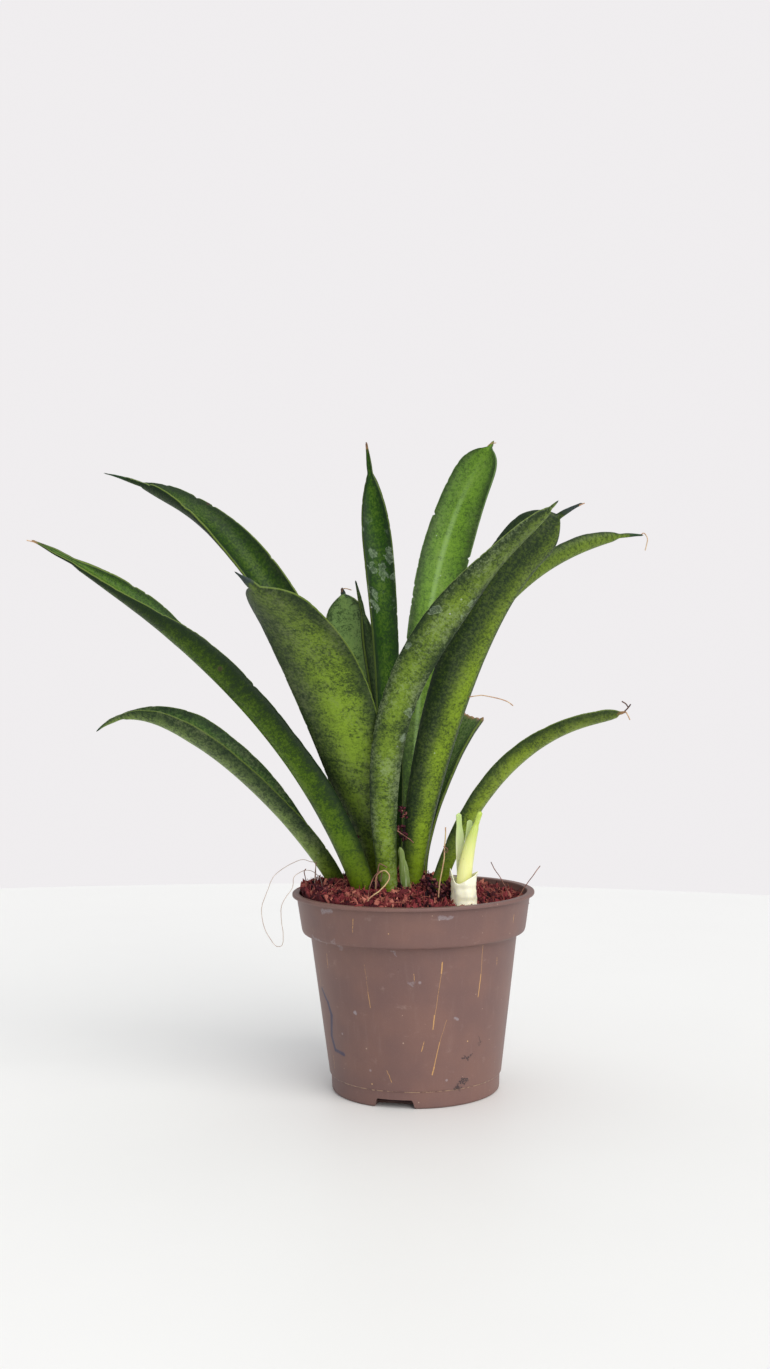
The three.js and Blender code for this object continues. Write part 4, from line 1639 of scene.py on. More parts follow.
class ChipTree:
    """The Geometry Nodes tree that scatters coir chips over a surface."""

    DENSITY = 2.5e6
    FULL_TURN = 6.283
    ROUGHNESS = 1.1

    def __init__(self, kinds: int = 4) -> None:
        """Makes the tree with its named inputs.

        Args:
            kinds: Number of different chips.
        """
        inputs = {
            "Geometry": "NodeSocketGeometry", "Spacing": 0.0008, "Density": 1.0e6,
            "Smallest": (0.0004,) * 3, "Largest": (0.001,) * 3, "Seed": 1,
        }
        graph = Graph.geometry_tree("coir_chips", inputs)
        self.graph = graph
        gather = graph.tree.nodes.new("GeometryNodeGeometryToInstance")
        for kind in range(kinds):
            graph.tree.links.new(self.chip(kind).socket, gather.inputs[0])
        seed = graph["Seed"]
        scatter = graph.node(
            "GeometryNodeDistributePointsOnFaces",
            {
                "Mesh": graph["Geometry"], "Distance Min": graph["Spacing"],
                "Density Max": graph["Density"], "Seed": seed,
            },
            distribute_method="POISSON",
        )
        turn = self.random((0.0,) * 3, (self.FULL_TURN,) * 3, seed + 1)
        size = self.random(graph["Smallest"], graph["Largest"], seed + 2)
        placed = graph.wire(
            "GeometryNodeInstanceOnPoints",
            {
                "Points": Wire(graph, scatter.outputs["Points"]), "Pick Instance": True,
                "Instance": Wire(graph, gather.outputs[0]), "Rotation": turn, "Scale": size,
            },
        )
        shade = self.random(0.0, 1.0, seed + 3)
        shaded = graph.marked(placed, "coir_shade", shade, "INSTANCE")
        graph.end(shaded)

    def random(self, low: Value, high: Value, seed: Value) -> Wire:
        """Returns a random value for each point.

        Args:
            low: The lowest number or vector.
            high: The highest one.
            seed: The seed of the draws.

        Returns:
            The value.
        """
        kind = "FLOAT_VECTOR" if is_vector(low) else "FLOAT"
        inputs = {"Min": low, "Max": high, "Seed": seed}
        return self.graph.wire("FunctionNodeRandomValue", inputs, data_type=kind)

    def chip(self, kind: int) -> Wire:
        """Returns one rough chip, about one unit across.

        Args:
            kind: Which of the chips it is.

        Returns:
            The chip's geometry.
        """
        graph = self.graph
        ball = graph.wire("GeometryNodeMeshIcoSphere", {"Radius": 0.5, "Subdivisions": 1})
        spot = graph.wire("GeometryNodeInputPosition", {})
        shift = graph.wire(
            "ShaderNodeTexNoise",
            {"Vector": spot + (kind * 7.3, kind * 1.9, 0.0), "Scale": 2.6, "Detail": 1.0},
            "Color",
        )
        offset = (shift - (0.5, 0.5, 0.5)) * self.ROUGHNESS
        return graph.wire("GeometryNodeSetPosition", {"Geometry": ball, "Offset": offset})

    def scatter(
        self, piece: Object, spacing: float, smallest: Point, largest: Point, seed: int,
        material: Material,
    ) -> None:
        """Scatters chips over a piece, which they then replace, and fixes them.

        Args:
            piece: The surface to scatter over.
            spacing: The least distance between chips, in millimetres.
            smallest: The smallest chip's size, in millimetres.
            largest: The largest chip's size, in millimetres.
            seed: The seed of the draws.
            material: The chips' material.
        """
        values = {
            "Spacing": spacing * MM, "Density": self.DENSITY, "Seed": seed, "Material": material,
            "Smallest": tuple(size * MM for size in smallest),
            "Largest": tuple(size * MM for size in largest),
        }
        finish_piece(grown(piece, self.graph, values), "coir_mix", [], None)


class StrandTree:
    """The Geometry Nodes tree that turns polylines into thin tapered strands."""

    def __init__(self) -> None:
        """Makes the tree with its named inputs."""
        inputs = {
            "Geometry": "NodeSocketGeometry", "Radius": 0.0001, "Tip Share": 0.4, "Wander": 0.0004,
            "Step": 0.0012, "Sides": 5, "Seed": 1.0,
        }
        graph = Graph.geometry_tree("strands", inputs)
        self.graph = graph
        lines = graph.wire("GeometryNodeMeshToCurve", {"Mesh": graph["Geometry"]})
        lines = graph.wire(
            "GeometryNodeResampleCurve", {"Curve": lines, "Length": graph["Step"]}, mode="LENGTH"
        )
        spot = graph.wire("GeometryNodeInputPosition", {})
        drift = graph.wire(
            "ShaderNodeTexNoise",
            {"Vector": spot + graph.xyz(graph["Seed"], 0.0), "Scale": 260.0, "Detail": 2.0},
            "Color",
        )
        lines = graph.wire(
            "GeometryNodeSetPosition",
            {"Geometry": lines, "Offset": (drift - (0.5, 0.5, 0.5)) * graph["Wander"]},
        )
        factor = graph.wire("GeometryNodeSplineParameter", {}, "Factor")
        taper = graph.between(factor, 1.0, graph["Tip Share"])
        lines = graph.wire("GeometryNodeSetCurveRadius", {"Curve": lines, "Radius": taper})
        ring = graph.wire(
            "GeometryNodeCurvePrimitiveCircle",
            {"Resolution": graph["Sides"], "Radius": graph["Radius"]},
        )
        tubes = graph.wire(
            "GeometryNodeCurveToMesh", {"Curve": lines, "Profile Curve": ring, "Fill Caps": True}
        )
        tubes = graph.wire("GeometryNodeSetShadeSmooth", {"Geometry": tubes})
        graph.end(tubes)

    def spin(
        self, name: str, lines: Sequence[Sequence[Vector]], material: Material,
        radius: float, **values: object,
    ) -> Object:
        """Makes one object of strands.

        Args:
            name: The object's name.
            lines: The points of each strand, in metres.
            material: The strands' material.
            radius: Their radius at the root, in metres.
            **values: Other inputs of the tree, with _ for a space.

        Returns:
            The strands.
        """
        points = [point for line in lines for point in line]
        edges = []
        start = 0
        for line in lines:
            edges += [(start + i, start + i + 1) for i in range(len(line) - 1)]
            start += len(line)
        mesh = bpy.data.meshes.new(name)
        mesh.from_pydata(points, edges, [])
        piece = link_object(name, mesh)
        inputs = {socket_name(key): value for key, value in values.items()}
        grown(piece, self.graph, {"Radius": radius, "Material": material} | inputs)
        turn_outwards(piece.data)
        return piece


def smooth_line(points: Sequence[Point], steps: int = 8) -> list[Vector]:
    """Returns a smooth line through points given in millimetres.

    Args:
        points: The points to pass through.
        steps: Number of pieces between two points.

    Returns:
        The line's points, in metres.
    """
    knots = [Vector(p) * MM for p in points]
    knots = [2 * knots[0] - knots[1], *knots, 2 * knots[-1] - knots[-2]]
    line = []
    for a, b, c, d in zip(knots, knots[1:], knots[2:], knots[3:], strict=False):
        for i in range(steps):
            t = i / steps
            line.append(
                0.5 * (2 * b + (c - a) * t + (2 * a - 5 * b + 4 * c - d) * t**2
                       + (3 * b - a - 3 * c + d) * t**3)
            )
    line.append(knots[-2])
    return line


@dataclass
class PottingMix:
    """The coir mix: a heaped body, loose chips on it and fibres. Lengths are millimetres."""

    edge_height: float = 71.2
    slope: float = -0.045
    heap: float = 8.2
    heap_spread: float = 19.0
    heap_at: tuple[float, float] = (-7.0, -2.0)
    radius: float = 41.6
    rings: int = 44
    segments: int = 132
    plug: tuple[tuple[float, float], ...] = ((40.2, 60.5), (36.9, 57.5), (30.5, 7.0), (29.0, 2.2))
    lump_size: float = 0.9
    clod_size: float = 1.0
    fibre_count: int = 420
    fibre_seed: int = 5
    caught: tuple[tuple[float, float, float, float], ...] = (
        (-3.8, -19.8, 104.8, 1.2), (-3.2, -19.5, 102.6, 1.2), (-4.3, -19.3, 97.9, 1.2),
        (-3.6, -19.0, 95.4, 1.4), (-23.9, -15.3, 103.1, 0.5), (-20.4, -14.0, 94.8, 0.5),
        (-14.0, -21.8, 78.3, 1.6), (11.0, -26.0, 77.6, 2.0), (10.6, -26.0, 75.0, 2.3),
        (6.5, -25.0, 78.6, 1.8), (6.8, -25.0, 76.0, 2.2), (4.0, -22.0, 79.5, 1.6),
        (-36.0, -10.0, 74.6, 2.4), (-33.0, -18.0, 74.8, 2.2), (-30.0, -8.0, 76.0, 2.6),
    )
    finish: CoirFinish = field(default_factory=CoirFinish)
    # The body shows between the chips; body_depth darkens it there as painted shade.
    body_depth: float = 0.45
    # Darker coir for the crumbs caught between the leaves' bases.
    damp_finish: CoirFinish = CoirFinish((0.008, 0.002, 0.006), (0.075, 0.014, 0.024), (0.33, 0.12, 0.10))
    fibre_finish: CoirFinish = CoirFinish((0.13, 0.030, 0.028), (0.36, 0.125, 0.085), (0.62, 0.36, 0.22))

    def height(self, x: float, y: float) -> float:
        """Returns the surface's height at a place.

        Args:
            x: Millimetres to the right.
            y: Millimetres to the back.

        Returns:
            The height, in millimetres.
        """
        away = ((x - self.heap_at[0]) ** 2 + (y - self.heap_at[1]) ** 2) / (2 * self.heap_spread**2)
        lumps = noise.fractal(Vector((x, y, 3.0)) * 0.22, 0.8, 2.0, 4) * self.lump_size
        clods = noise.fractal(Vector((x, y, 9.0)) * 0.42, 0.8, 2.0, 2) * self.clod_size
        return self.edge_height + self.slope * x + self.heap * math.exp(-away) + lumps + clods

    def surface(self, name: str, closed: bool) -> Object:
        """Makes the mix's top, with or without the plug of mix that fills the pot under it.

        Args:
            name: The object's name.
            closed: Whether the sides and the bottom are there too.

        Returns:
            The mesh object.
        """
        points = [Vector((0, 0, self.height(0, 0)))]
        faces: list[list[int]] = []
        for ring in range(1, self.rings + 1):
            radius = self.radius * ring / self.rings
            spots = [(radius * x, radius * y) for x, y in circle(self.segments)]
            points += [Vector((x, y, self.height(x, y))) for x, y in spots]
        if closed:
            for radius, height in self.plug:
                points += [Vector((radius * x, radius * y, height)) for x, y in circle(self.segments)]
            points.append(Vector((0, 0, self.plug[-1][1])))
        count = self.segments
        total = (len(points) - 1) // count
        for i in range(count):
            j = (i + 1) % count
            faces.append([0, 1 + i, 1 + j])
            for ring in range(total - 1):
                low, high = 1 + ring * count, 1 + (ring + 1) * count
                faces.append([low + i, high + i, high + j, low + j])
            if closed:
                last = 1 + (total - 1) * count
                faces.append([last + i, len(points) - 1, last + j])
        mesh = bpy.data.meshes.new(name)
        mesh.from_pydata([p * MM for p in points], [], faces)
        if closed:
            turn_outwards(mesh)
        return link_object(name, mesh)

    def build(self, chips: ChipTree, strands: StrandTree) -> None:
        """Builds the mix's body, its two layers of chips and its loose fibres.

        Args:
            chips: The tree that scatters chips.
            strands: The tree that spins fibres.
        """
        # The darker body paints the shade in the gaps between the chips.
        body_finish = replace(self.finish, depth=self.body_depth)
        body = self.surface("coir_body", True)
        finish_piece(body, "coir_mix", ["soil"], body_finish.material("coir_body", False))
        material = self.finish.material("coir_chips")
        layers = (
            ("coir_chips_fine", 1.0, (0.8, 0.5, 0.4), (1.9, 1.1, 0.9), 11),
            ("coir_chips_coarse", 2.3, (2.0, 1.1, 0.9), (5.4, 2.6, 2.2), 23),
            ("coir_shreds", 1.8, (2.4, 0.28, 0.24), (6.2, 0.65, 0.5), 37),
        )
        for name, *sizes in layers:
            chips.scatter(self.surface(name, False), *sizes, material)
        crumb_material = self.damp_finish.material("coir_crumbs")
        chips.scatter(self.crumbs("coir_crumbs"), 0.9, (0.6, 0.6, 0.6), (2.6, 1.3, 1.1), 41, crumb_material)
        fibres = strands.spin(
            "coir_fibres", self.fibre_lines(), self.fibre_finish.material("coir_fibre", False),
            0.12 * MM, sides=3, step=1.1 * MM, wander=0.9 * MM,
        )
        finish_piece(fibres, "coir_mix", [], None)

    def crumbs(self, name: str) -> Object:
        """Makes the lumps of mix that are caught between the leaves' bases.

        Args:
            name: The object's name.

        Returns:
            The lumps, to scatter chips over.
        """
        work = bmesh.new()
        for x, y, z, radius in self.caught:
            place = Matrix.Translation(Vector((x, y, z)) * MM)
            bmesh.ops.create_icosphere(work, subdivisions=2, radius=radius * MM, matrix=place)
        mesh = bpy.data.meshes.new(name)
        work.to_mesh(mesh)
        work.free()
        return link_object(name, mesh)

    def fibre_lines(self) -> list[list[Vector]]:
        """Returns short bowed lines that lie on the mix, drawn with a fixed seed.

        Returns:
            Each fibre's points, in metres.
        """
        draws = random.Random(self.fibre_seed)
        lines = []
        for _ in range(self.fibre_count):
            draw = [draws.random() for _ in range(7)]
            angle, radius = draw[0] * 2 * math.pi, math.sqrt(draw[1]) * (self.radius - 2)
            x, y = radius * math.cos(angle), radius * math.sin(angle)
            heading = draw[2] * 2 * math.pi
            reach = 2.4 + 7.5 * draw[3] ** 2
            bow = (draw[4] - 0.5) * reach
            rise = 0.3 + 2.4 * draw[5] ** 3
            side = Vector((-math.sin(heading), math.cos(heading), 0))
            step = Vector((math.cos(heading), math.sin(heading), 0)) * reach / 2
            middle = Vector((x, y, 0))
            knots = []
            for place, lift in ((-1, 0.1), (0, rise), (1, 0.1 + draw[6] * rise)):
                p = middle + step * place + side * bow * (1 - abs(place))
                if p.to_2d().length > self.radius - 0.4:
                    p *= (self.radius - 0.4) / p.to_2d().length
                knots.append((p.x, p.y, self.height(p.x, p.y) + lift))
            lines.append(smooth_line(knots, 3))
        return lines


# ---- stray hairs


@dataclass(frozen=True)
class HairFinish:
    """A dry plant hair or thread, of one hue with faint changes along it."""

    colour: Colour = (0.42, 0.27, 0.17)
    dark: Colour = (0.20, 0.09, 0.05)

    def material(self, name: str) -> Material:
        """Makes the hair's material.

        Args:
            name: The material's name.

        Returns:
            The material.
        """
        material, graph, shader = new_material(name)
        spot = graph.object_place()
        change = graph.cloud(spot, 300.0, 3.0, 0.7)
        colour = graph.tint(graph.span(change, 0.35, 0.65), self.dark, self.colour)
        graph.feed(shader.inputs["Base Color"], colour)
        graph.feed(shader.inputs["Roughness"], (change - 0.5) * 0.3 + 0.6)
        return material


@dataclass(frozen=True)
class Tuft:
    """Stray hairs that share one look and one thickness. Lengths are millimetres."""

    name: str
    slot: str
    finish: HairFinish
    radius: float
    lines: tuple[tuple[Point, ...], ...]
    wander: float = 0.4

    def build(self, strands: StrandTree) -> None:
        """Spins the hairs and fixes them.

        Args:
            strands: The tree that spins hairs.
        """
        piece = strands.spin(
            self.name, [smooth_line(line) for line in self.lines], self.finish.material(self.name + "_dry"),
            self.radius * MM, sides=6, step=0.5 * MM, wander=self.wander * MM,
        )
        finish_piece(piece, self.slot, [], None)


TUFTS: tuple[Tuft, ...] = (
    Tuft("hairs_long", "coir_mix", HairFinish((0.6, 0.5, 0.42), (0.42, 0.3, 0.24)), 0.12, (
        (
            (-36.6, -3.8, 74.2), (-36.4, -4, 79.3), (-36.1, -5, 83.9), (-38.1, -6, 84.9),
            (-41.1, -7, 85.7), (-45.2, -8, 84.2), (-49.6, -9, 81.6), (-51.8, -10, 79.1),
            (-53.5, -11, 74.9), (-55.3, -12, 69.9), (-55.5, -13, 66), (-54.1, -14, 61),
            (-51.2, -15, 56.3), (-49.2, -16, 55.4), (-47.7, -17, 56.6), (-47.4, -18, 60.6),
            (-47.9, -19, 65.3), (-47.9, -20, 70), (-46.3, -20, 73.7), (-43.9, -18, 76.8),
            (-43.4, -15.6, 80.3), (-41.3, -14, 82), (-38.9, -11.3, 82.3), (-36.7, -8.7, 81.4),
            (-34.3, -6, 78.4), (-33.6, -5, 74.6),
        ),
    )),
    Tuft("hairs_curled", "coir_mix", HairFinish((0.56, 0.42, 0.2), (0.46, 0.24, 0.14)), 0.24, (
        (
            (-17.0, -36.1, 71.6), (-16.1, -36, 75.1), (-12.5, -34.9, 77.7), (-9.9, -33.8, 80.2),
            (-8.8, -32.6, 82.2), (-9.2, -31.5, 83.5), (-10.7, -30.4, 84.3), (-12.4, -29.2, 83.3),
            (-13.5, -28.1, 81.6), (-13.8, -27, 77.5),
        ),
        (
            (8.2, -30, 72), (8.6, -30, 77.6), (9.4, -30, 82), (10.3, -30, 86.5), (10.7, -30, 89.9),
            (10.8, -30, 93.3), (11.2, -30, 96.5), (11.2, -30, 99.3),
        ),
    )),
    Tuft("hairs_brown", "coir_mix", HairFinish((0.34, 0.15, 0.1), (0.13, 0.045, 0.035)), 0.17, (
        (
            (-13.6, -28, 74), (-13.5, -28, 77.6), (-13.2, -28, 81.6), (-12.4, -28, 86.1),
            (-11.3, -28, 86), (-9.6, -28, 85),
        ),
        ((-16.6, -29, 73.8), (-15.9, -29, 78), (-13.9, -29, 82.4), (-11.5, -29, 83.9), (-12, -29, 80.1)),
        ((-36.2, -4, 74.4), (-36.1, -4, 78.0), (-36.0, -4, 82.0), (-35.8, -4, 84.6)),
        ((-39.2, -8, 73.9), (-39.7, -8, 79.0), (-40.1, -8, 81.4), (-39.4, -8, 82.4)),
        (
            (10.4, -30.4, 92.6), (11.2, -30.8, 92.2), (11.9, -30.8, 91.4), (11.4, -30.4, 90.4),
            (10.7, -30.2, 91.2),
        ),
        ((-5.8, -26, 97.8), (-3.9, -26.5, 96.5), (-1.9, -28.6, 95.4), (-0.2, -30.5, 94.0)),
        ((35.6, -12, 69.4), (34.8, -12, 72.6), (32.2, -12, 78), (29.7, -12, 81.7), (28.3, -12, 84.6)),
        ((36.6, -14, 69), (37.6, -14, 71.0), (41.1, -14, 76.7), (44.1, -14, 80.7), (46, -14, 83.2)),
    )),
    Tuft("tip_hairs_dry", "leaf", HairFinish((0.66, 0.48, 0.3), (0.4, 0.2, 0.1)), 0.22, (
        (
            (18.1, -23, 144.6), (23.6, -24, 145.5), (26.1, -24, 145.4), (31.5, -24, 144.2),
            (34.3, -24, 143.1), (36.1, -24, 141.7),
        ),
        (
            (91.0, 26, 206.6), (91.9, 26, 207.4), (92.7, 26, 206.9), (93.4, 25, 205), (93, 25, 202.7),
            (92.4, 25, 200.5),
        ),
        ((33.4, 50, 245.8), (34.6, 50, 246.6), (36.8, 49, 246.8)),
        ((-26, 36.8, 186.6), (-25.8, 36, 187.6), (-24.4, 34, 187.7), (-22.3, 32, 187)),
        ((-131.0, -30, 200.9), (-132.8, -30, 201.8), (-135.1, -30, 202.4)),
        ((58.6, -38, 211.2), (60.6, -38, 212)),
        ((76, -26, 139), (76.8, -26.5, 137.4), (77.2, -27, 136.2)),
    ), 0.2),
    Tuft("tip_hairs_dark", "leaf", HairFinish((0.2, 0.09, 0.06), (0.06, 0.03, 0.025)), 0.26, (
        ((-14.9, 18, 238.6), (-15.1, 18, 240.4), (-15.5, 18, 242.9)),
        ((-26.1, 37, 186), (-26.4, 36, 187.5), (-25.8, 36, 188.1)),
        ((75.3, -26, 139), (76.6, -26, 140.3), (77.5, -27, 141.7)),
        ((74.6, -26, 142.8), (76, -26, 141.9), (76.8, -26.2, 140.5)),
    ), 0.2),
)


# ---- young shoot


@dataclass(frozen=True)
class FleshFinish:
    """Young, slightly see-through plant tissue that changes colour upwards."""

    low: Colour
    high: Colour
    low_height: float
    high_height: float
    stain: float = 0.3
    roughness: float = 0.38
    vein_colour: Colour = (0.93, 0.94, 0.78)
    blotch_colour: Colour = (0.45, 0.36, 0.2)
    spot_colour: Colour = (0.16, 0.07, 0.04)

    def material(self, name: str) -> Material:
        """Makes the tissue's material.

        Args:
            name: The material's name.

        Returns:
            The material.
        """
        material, graph, shader = new_material(name)
        spot = graph.object_place()
        x, y, z = graph.parts(spot * 1000.0)
        veins = graph.cloud(graph.xyz(x * 3.0, y * 3.0, z * 0.16), 1.0, 3.0, 0.6)
        fleck = graph.cloud(graph.xyz(x, y, z), 1.6, 3.0, 0.65)
        rise = graph.span(z + (veins - 0.5) * 5.0, self.low_height, self.high_height)
        colour = graph.tint(rise, self.low, self.high)
        colour = graph.tint(graph.span(veins, 0.5, 0.75) * 0.25, colour, self.vein_colour)
        blotch = graph.span(fleck, 0.62, 0.74) * self.stain * 0.5
        colour = graph.tint(blotch, colour, self.blotch_colour)
        spots = graph.speckled(graph.xyz(x, y, z), 3.4, 0.1, 0.22)
        colour = graph.tint(spots * self.stain, colour, self.spot_colour)
        graph.feed(shader.inputs["Base Color"], colour)
        graph.feed(shader.inputs["Roughness"], (fleck - 0.5) * 0.2 + self.roughness)
        add_bump(graph, shader, veins + fleck * 0.3, 0.3, 0.2 * MM)
        shader.inputs["Subsurface Weight"].default_value = 0.25
        shader.inputs["Subsurface Radius"].default_value = (1.0, 0.9, 0.5)
        shader.inputs["Subsurface Scale"].default_value = 0.0012
        return material


def swell(size: tuple[float, float], away: float) -> float:
    """Returns a bell curve's height.

    Args:
        size: Its full height, and how far it spreads.
        away: The distance from its middle.

    Returns:
        The height there.
    """
    return size[0] * math.exp(-((away / size[1]) ** 2))


@dataclass
class Pup:
    """The young shoot: a fleshy cup with a rolled leaf and two leaflets. Lengths are millimetres."""

    x: float = 17.4
    y: float = -29.0
    bottom: float = 66.0
    rise: tuple[tuple[float, float], ...] = (
        (66, 4.1), (70, 4.8), (74, 4.6), (78.5, 4.4), (81, 4.5), (84, 4.8),
    )
    rim_height: float = 81.2
    right_flap: tuple[float, float] = (2.2, 46.0)
    left_flap: tuple[float, float] = (3.4, 26.0)
    front_dip: tuple[float, float] = (-1.6, 34.0)
    front_angle: float = -118.0
    flare: tuple[float, float] = (0.45, 30.0)
    flare_from: float = 0.8
    floor: float = 2.0
    wall: float = 0.7
    around: int = 72
    up: int = 40
    cup_finish: FleshFinish = FleshFinish((0.92, 0.87, 0.62), (0.93, 0.90, 0.68), 70.0, 84.0, 0.5)
    shoot_finish: FleshFinish = FleshFinish((0.80, 0.81, 0.32), (0.44, 0.57, 0.08), 84.0, 104.0)
    leaflet_finish: FleshFinish = FleshFinish((0.80, 0.82, 0.52), (0.46, 0.60, 0.22), 84.0, 104.0)

    def rim(self, angle: float) -> float:
        """Returns the cup's rim height at an angle, in radians from +X.

        The rim stands in a flap at the right and a smaller one at the left, and dips in a V
        at the front, where its two sides overlap.

        Args:
            angle: The angle.

        Returns:
            The height, in millimetres.
        """
        degrees = math.degrees(angle)
        flaps = swell(self.right_flap, degrees) + swell(self.left_flap, abs(degrees) - 180)
        return self.rim_height + flaps + swell(self.front_dip, degrees - self.front_angle)

    def outer(self, height: float) -> float:
        """Returns the cup's outer radius at a height.

        Args:
            height: The height, in millimetres.

        Returns:
            The radius, in millimetres.
        """
        for (z0, r0), (z1, r1) in zip(self.rise, self.rise[1:], strict=False):
            if height <= z1:
                t = max(0.0, (height - z0) / (z1 - z0))
                t = t * t * (3 - 2 * t)
                return r0 + (r1 - r0) * t
        return self.rise[-1][1]

    def ring(self, share: float, inside: bool) -> list[Vector]:
        """Returns one ring of the cup's points, creased and a little uneven.

        Args:
            share: The ring's place, as a share of the wall's height.
            inside: Whether it is on the inner face.

        Returns:
            The points, in millimetres.
        """
        points, centre = [], Vector((self.x, self.y, 0))
        for i in range(self.around):
            angle = 2 * math.pi * i / self.around - math.pi
            start = self.bottom + self.floor if inside else self.bottom
            z = start + (self.rim(angle) - start) * share
            opened = max(0.0, share - self.flare_from) / (1 - self.flare_from)
            flare = swell(self.flare, math.degrees(angle)) * opened
            crease = 0.12 * math.sin(7 * angle + 0.3 * z) * share
            crease += 0.3 * noise.noise(Vector((angle * 1.3, 4.0, z * 0.55)))
            crease += 0.06 * math.sin(1.7 * z + 1.5 * math.sin(angle))
            thin = self.wall * (1 - 0.65 * share) if inside else 0
            radius = self.outer(z) + flare + crease - thin
            points.append(centre + Vector((radius * math.cos(angle), radius * math.sin(angle), z)))
        return points

    def cup(self) -> Object:
        """Builds the cup as one closed wall.

        Returns:
            The cup.
        """
        shares = [k / self.up for k in range(self.up + 1)]
        points = [point for share in shares for point in self.ring(share, False)]
        points += [point for share in reversed(shares) for point in self.ring(share, True)]
        count, rings = self.around, 2 * len(shares)
        turns = [(i, (i + 1) % count) for i in range(count)]
        faces = []
        for low in range(0, (rings - 1) * count, count):
            faces += [[low + i, low + j, low + count + j, low + count + i] for i, j in turns]
        faces += [list(range(count)), list(range((rings - 1) * count, rings * count))]
        return link_object("pup_cup", mesh_from("pup_cup", [p * MM for p in points], faces))

    def build(self, tree: BladeTree) -> None:
        """Builds the cup, the rolled leaf and the leaflets.

        Args:
            tree: The tree that grows leaves.
        """
        finish_piece(self.cup(), "pup_sheath", ["pup_sheath"], self.cup_finish.material("pup_cup_flesh"))
        offset = (self.x, self.y, self.bottom)
        toward = (0.4, -1.0, 0.0)
        young = self.shoot_finish.material("pup_shoot_flesh")
        pale = self.leaflet_finish.material("pup_leaflet_flesh")
        parts = (
            ("pup_shoot", young, Blade(
                path=((0, -0.2, 2.5), (0, -0.2, 16), (1.6, -0.6, 26), (6.3, -1, 38.8)),
                facing=((-0.6, 1, 0), (-0.6, 1, 0), (-0.6, 1, 0.2)),
                half_width=3.9, base=0.85, widest=0.3, curl=(88, 88, 75), spike=1, blunt=2,
                thickness=1.4, ripple=0.15, nibble=0.05, ragged=0.5, seed=21,
            )),
            ("pup_leaflet_left", pale, Blade(
                path=((-0.6, 2.2, 4), (-0.9, 2.5, 14), (-0.8, 2.9, 26), (-1.4, 2.6, 38)),
                facing=(toward, toward, toward),
                half_width=1.8, base=0.6, widest=0.6, curl=(30, 30, 40), spike=0.8, blunt=2.6,
                thickness=0.7, ripple=0.05, nibble=0.0, seed=22,
            )),
            ("pup_leaflet_middle", pale, Blade(
                path=((0, 0.6, 5), (-0.4, 0.6, 16), (1.6, 1.7, 26), (2.6, 2, 35.5)),
                facing=(toward, toward, toward),
                half_width=0.9, base=0.7, widest=0.6, curl=(20, 20, 20), spike=0.5, blunt=2.6,
                thickness=0.6, ripple=0.05, nibble=0.0, seed=23,
            )),
        )
        for node, material, blade in parts:
            piece = tree.grow(node + "_blade", blade, material, offset, rows=90, around=33)
            finish_piece(piece, "pup_shoot", [node], None)


@dataclass
class BaseSheath:
    """The dry papery sheath left standing between the two front leaves."""

    blade: Blade = Blade(
        path=((-2.6, -20.5, 70), (-2.7, -20.6, 76), (-3.6, -20.6, 85), (-4.9, -20.3, 91.5)),
        facing=((0, 1, 0), (0, 1, 0), (0, 1, 0)),
        half_width=1.8, base=0.7, widest=0.5, curl=(25, 25, 25), spike=2, blunt=2.5,
        thickness=0.9, ripple=0.1, nibble=0.1, seed=31,
    )
    finish: FleshFinish = FleshFinish((0.10, 0.17, 0.02), (0.17, 0.24, 0.05), 72.0, 92.0, 0.8, 0.6)

    def build(self, tree: BladeTree) -> None:
        """Grows and fixes the sheath.

        Args:
            tree: The tree that grows leaves.
        """
        material = self.finish.material("sheath_tissue")
        piece = tree.grow("base_sheath_blade", self.blade, material, rows=90, around=33)
        finish_piece(piece, "base_sheath", ["base_sheath"], None)


# ---- studio


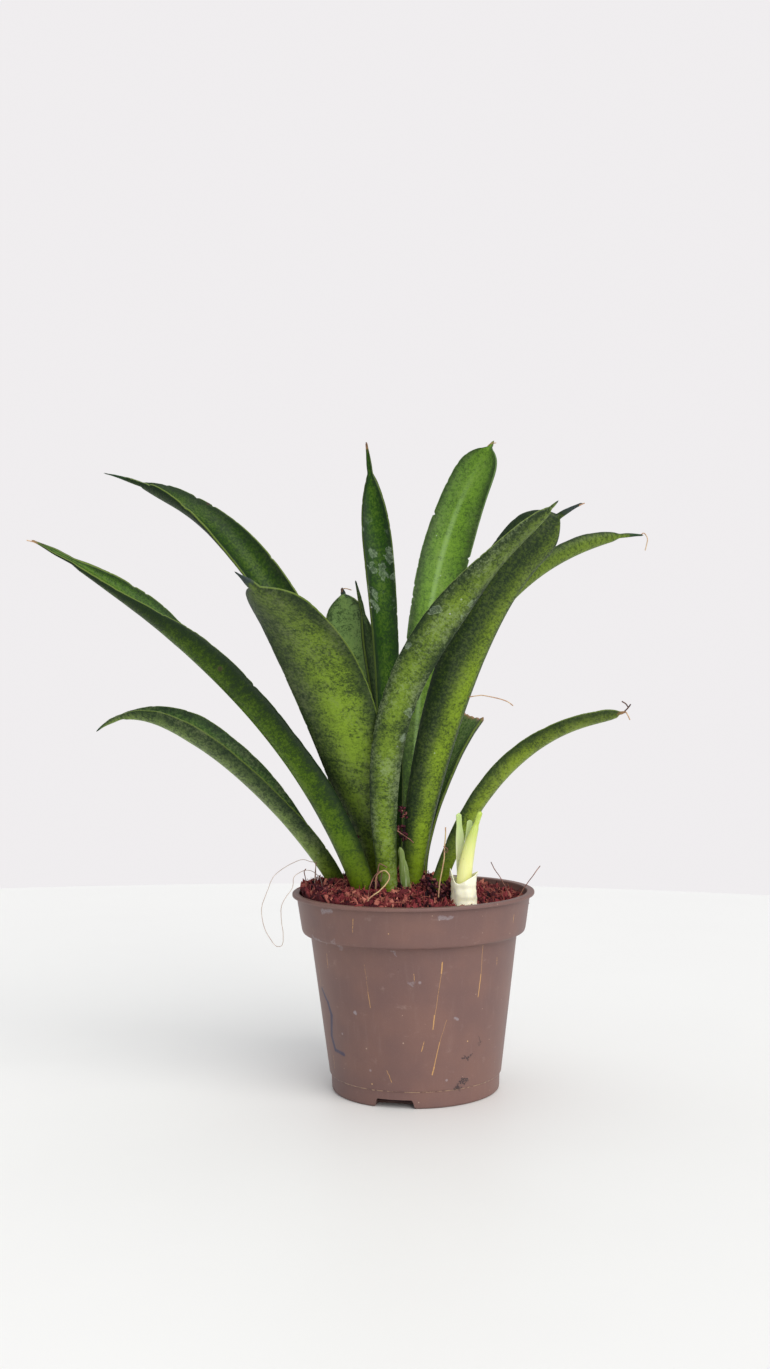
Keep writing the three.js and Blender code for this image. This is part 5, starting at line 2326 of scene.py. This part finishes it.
@dataclass
class Studio:
    """The pale floor, the soft lights and the camera."""

    camera_at: Point = (-0.0095, -0.559, 0.1524)
    pitch: float = 0.0047
    roll: float = 0.013
    lens: float = 39.445
    floor_radius: float = 0.95
    floor_centre: tuple[float, float] = (-0.16, -0.39)

    def build(self) -> None:
        """Sets up everything that isn't part of the plant."""
        self.floor()
        self.world()
        self.sun("key", (0.55, -0.85, 0.75), 55.0, 2.3, (1.0, 0.985, 0.96))
        self.sun("top", (-0.15, 0.30, 1.40), 80.0, 0.8, (0.98, 0.99, 1.0))
        self.camera()
        bpy.context.scene.view_settings.view_transform = "Standard"

    def floor(self) -> None:
        """Lays the floor, a wide pale disc."""
        count = 180
        centre, size = self.floor_centre, self.floor_radius
        points = [(centre[0] + size * x, centre[1] + size * y, 0.0) for x, y in circle(count)]
        mesh = bpy.data.meshes.new("floor")
        mesh.from_pydata(points, [], [list(range(count))])
        floor = link_object("floor", mesh)
        material, graph, shader = new_material("floor_white")
        spot = graph.object_place()
        smear = graph.cloud(spot, 9.0, 3.0, 0.6)
        colour = graph.tint(smear, (0.845, 0.84, 0.82), (0.82, 0.81, 0.795))
        graph.feed(shader.inputs["Base Color"], colour)
        shader.inputs["Roughness"].default_value = 0.5
        mesh.materials.append(material)

    @staticmethod
    def world() -> None:
        """Makes the pale surroundings."""
        world = bpy.data.worlds.new("studio")
        world.use_nodes = True
        graph = Graph(world.node_tree)
        background = world.node_tree.nodes["Background"]
        seen = graph.wire("ShaderNodeLightPath", {}, "Is Camera Ray")
        lit, shown = (0.50, 0.51, 0.53), (0.87, 0.85, 0.862)
        graph.feed(background.inputs["Color"], graph.tint(seen, lit, shown))
        bpy.context.scene.world = world

    @staticmethod
    def sun(name: str, place: Point, spread: float, strength: float, colour: Colour) -> None:
        """Adds an even, soft light that shines towards the origin.

        Args:
            name: The light's name.
            place: The direction that it comes from.
            spread: How wide it looks, in degrees, which softens its shadows.
            strength: Its strength.
            colour: Its colour.
        """
        data = bpy.data.lights.new(name, "SUN")
        data.angle = math.radians(spread)
        data.energy = strength
        data.color = colour
        lamp = bpy.data.objects.new(name, data)
        lamp.rotation_euler = (-Vector(place)).to_track_quat("-Z", "Y").to_euler()
        bpy.context.scene.collection.objects.link(lamp)

    def camera(self) -> None:
        """Places the camera in front of the plant, a little rolled."""
        data = bpy.data.cameras.new("camera")
        data.lens = self.lens
        data.sensor_width = 36.0
        camera = bpy.data.objects.new("camera", data)
        tilt = Matrix.Rotation(math.pi / 2 - self.pitch, 4, "X") @ Matrix.Rotation(-self.roll, 4, "Z")
        camera.matrix_world = Matrix.Translation(self.camera_at) @ tilt
        bpy.context.scene.collection.objects.link(camera)
        bpy.context.scene.camera = camera


def main() -> None:
    """Builds the potted plant piece by piece."""
    logging.basicConfig(level=logging.INFO, format="%(name)s: %(message)s")
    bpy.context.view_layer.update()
    blades, chips, strands = BladeTree(), ChipTree(), StrandTree()
    Pot().build()
    PottingMix().build(chips, strands)
    for leaf in LEAVES:
        leaf.build(blades)
    BaseSheath().build(blades)
    Pup().build(blades)
    for tuft in TUFTS:
        tuft.build(strands)
    Studio().build()


if __name__ == "__main__":
    main()
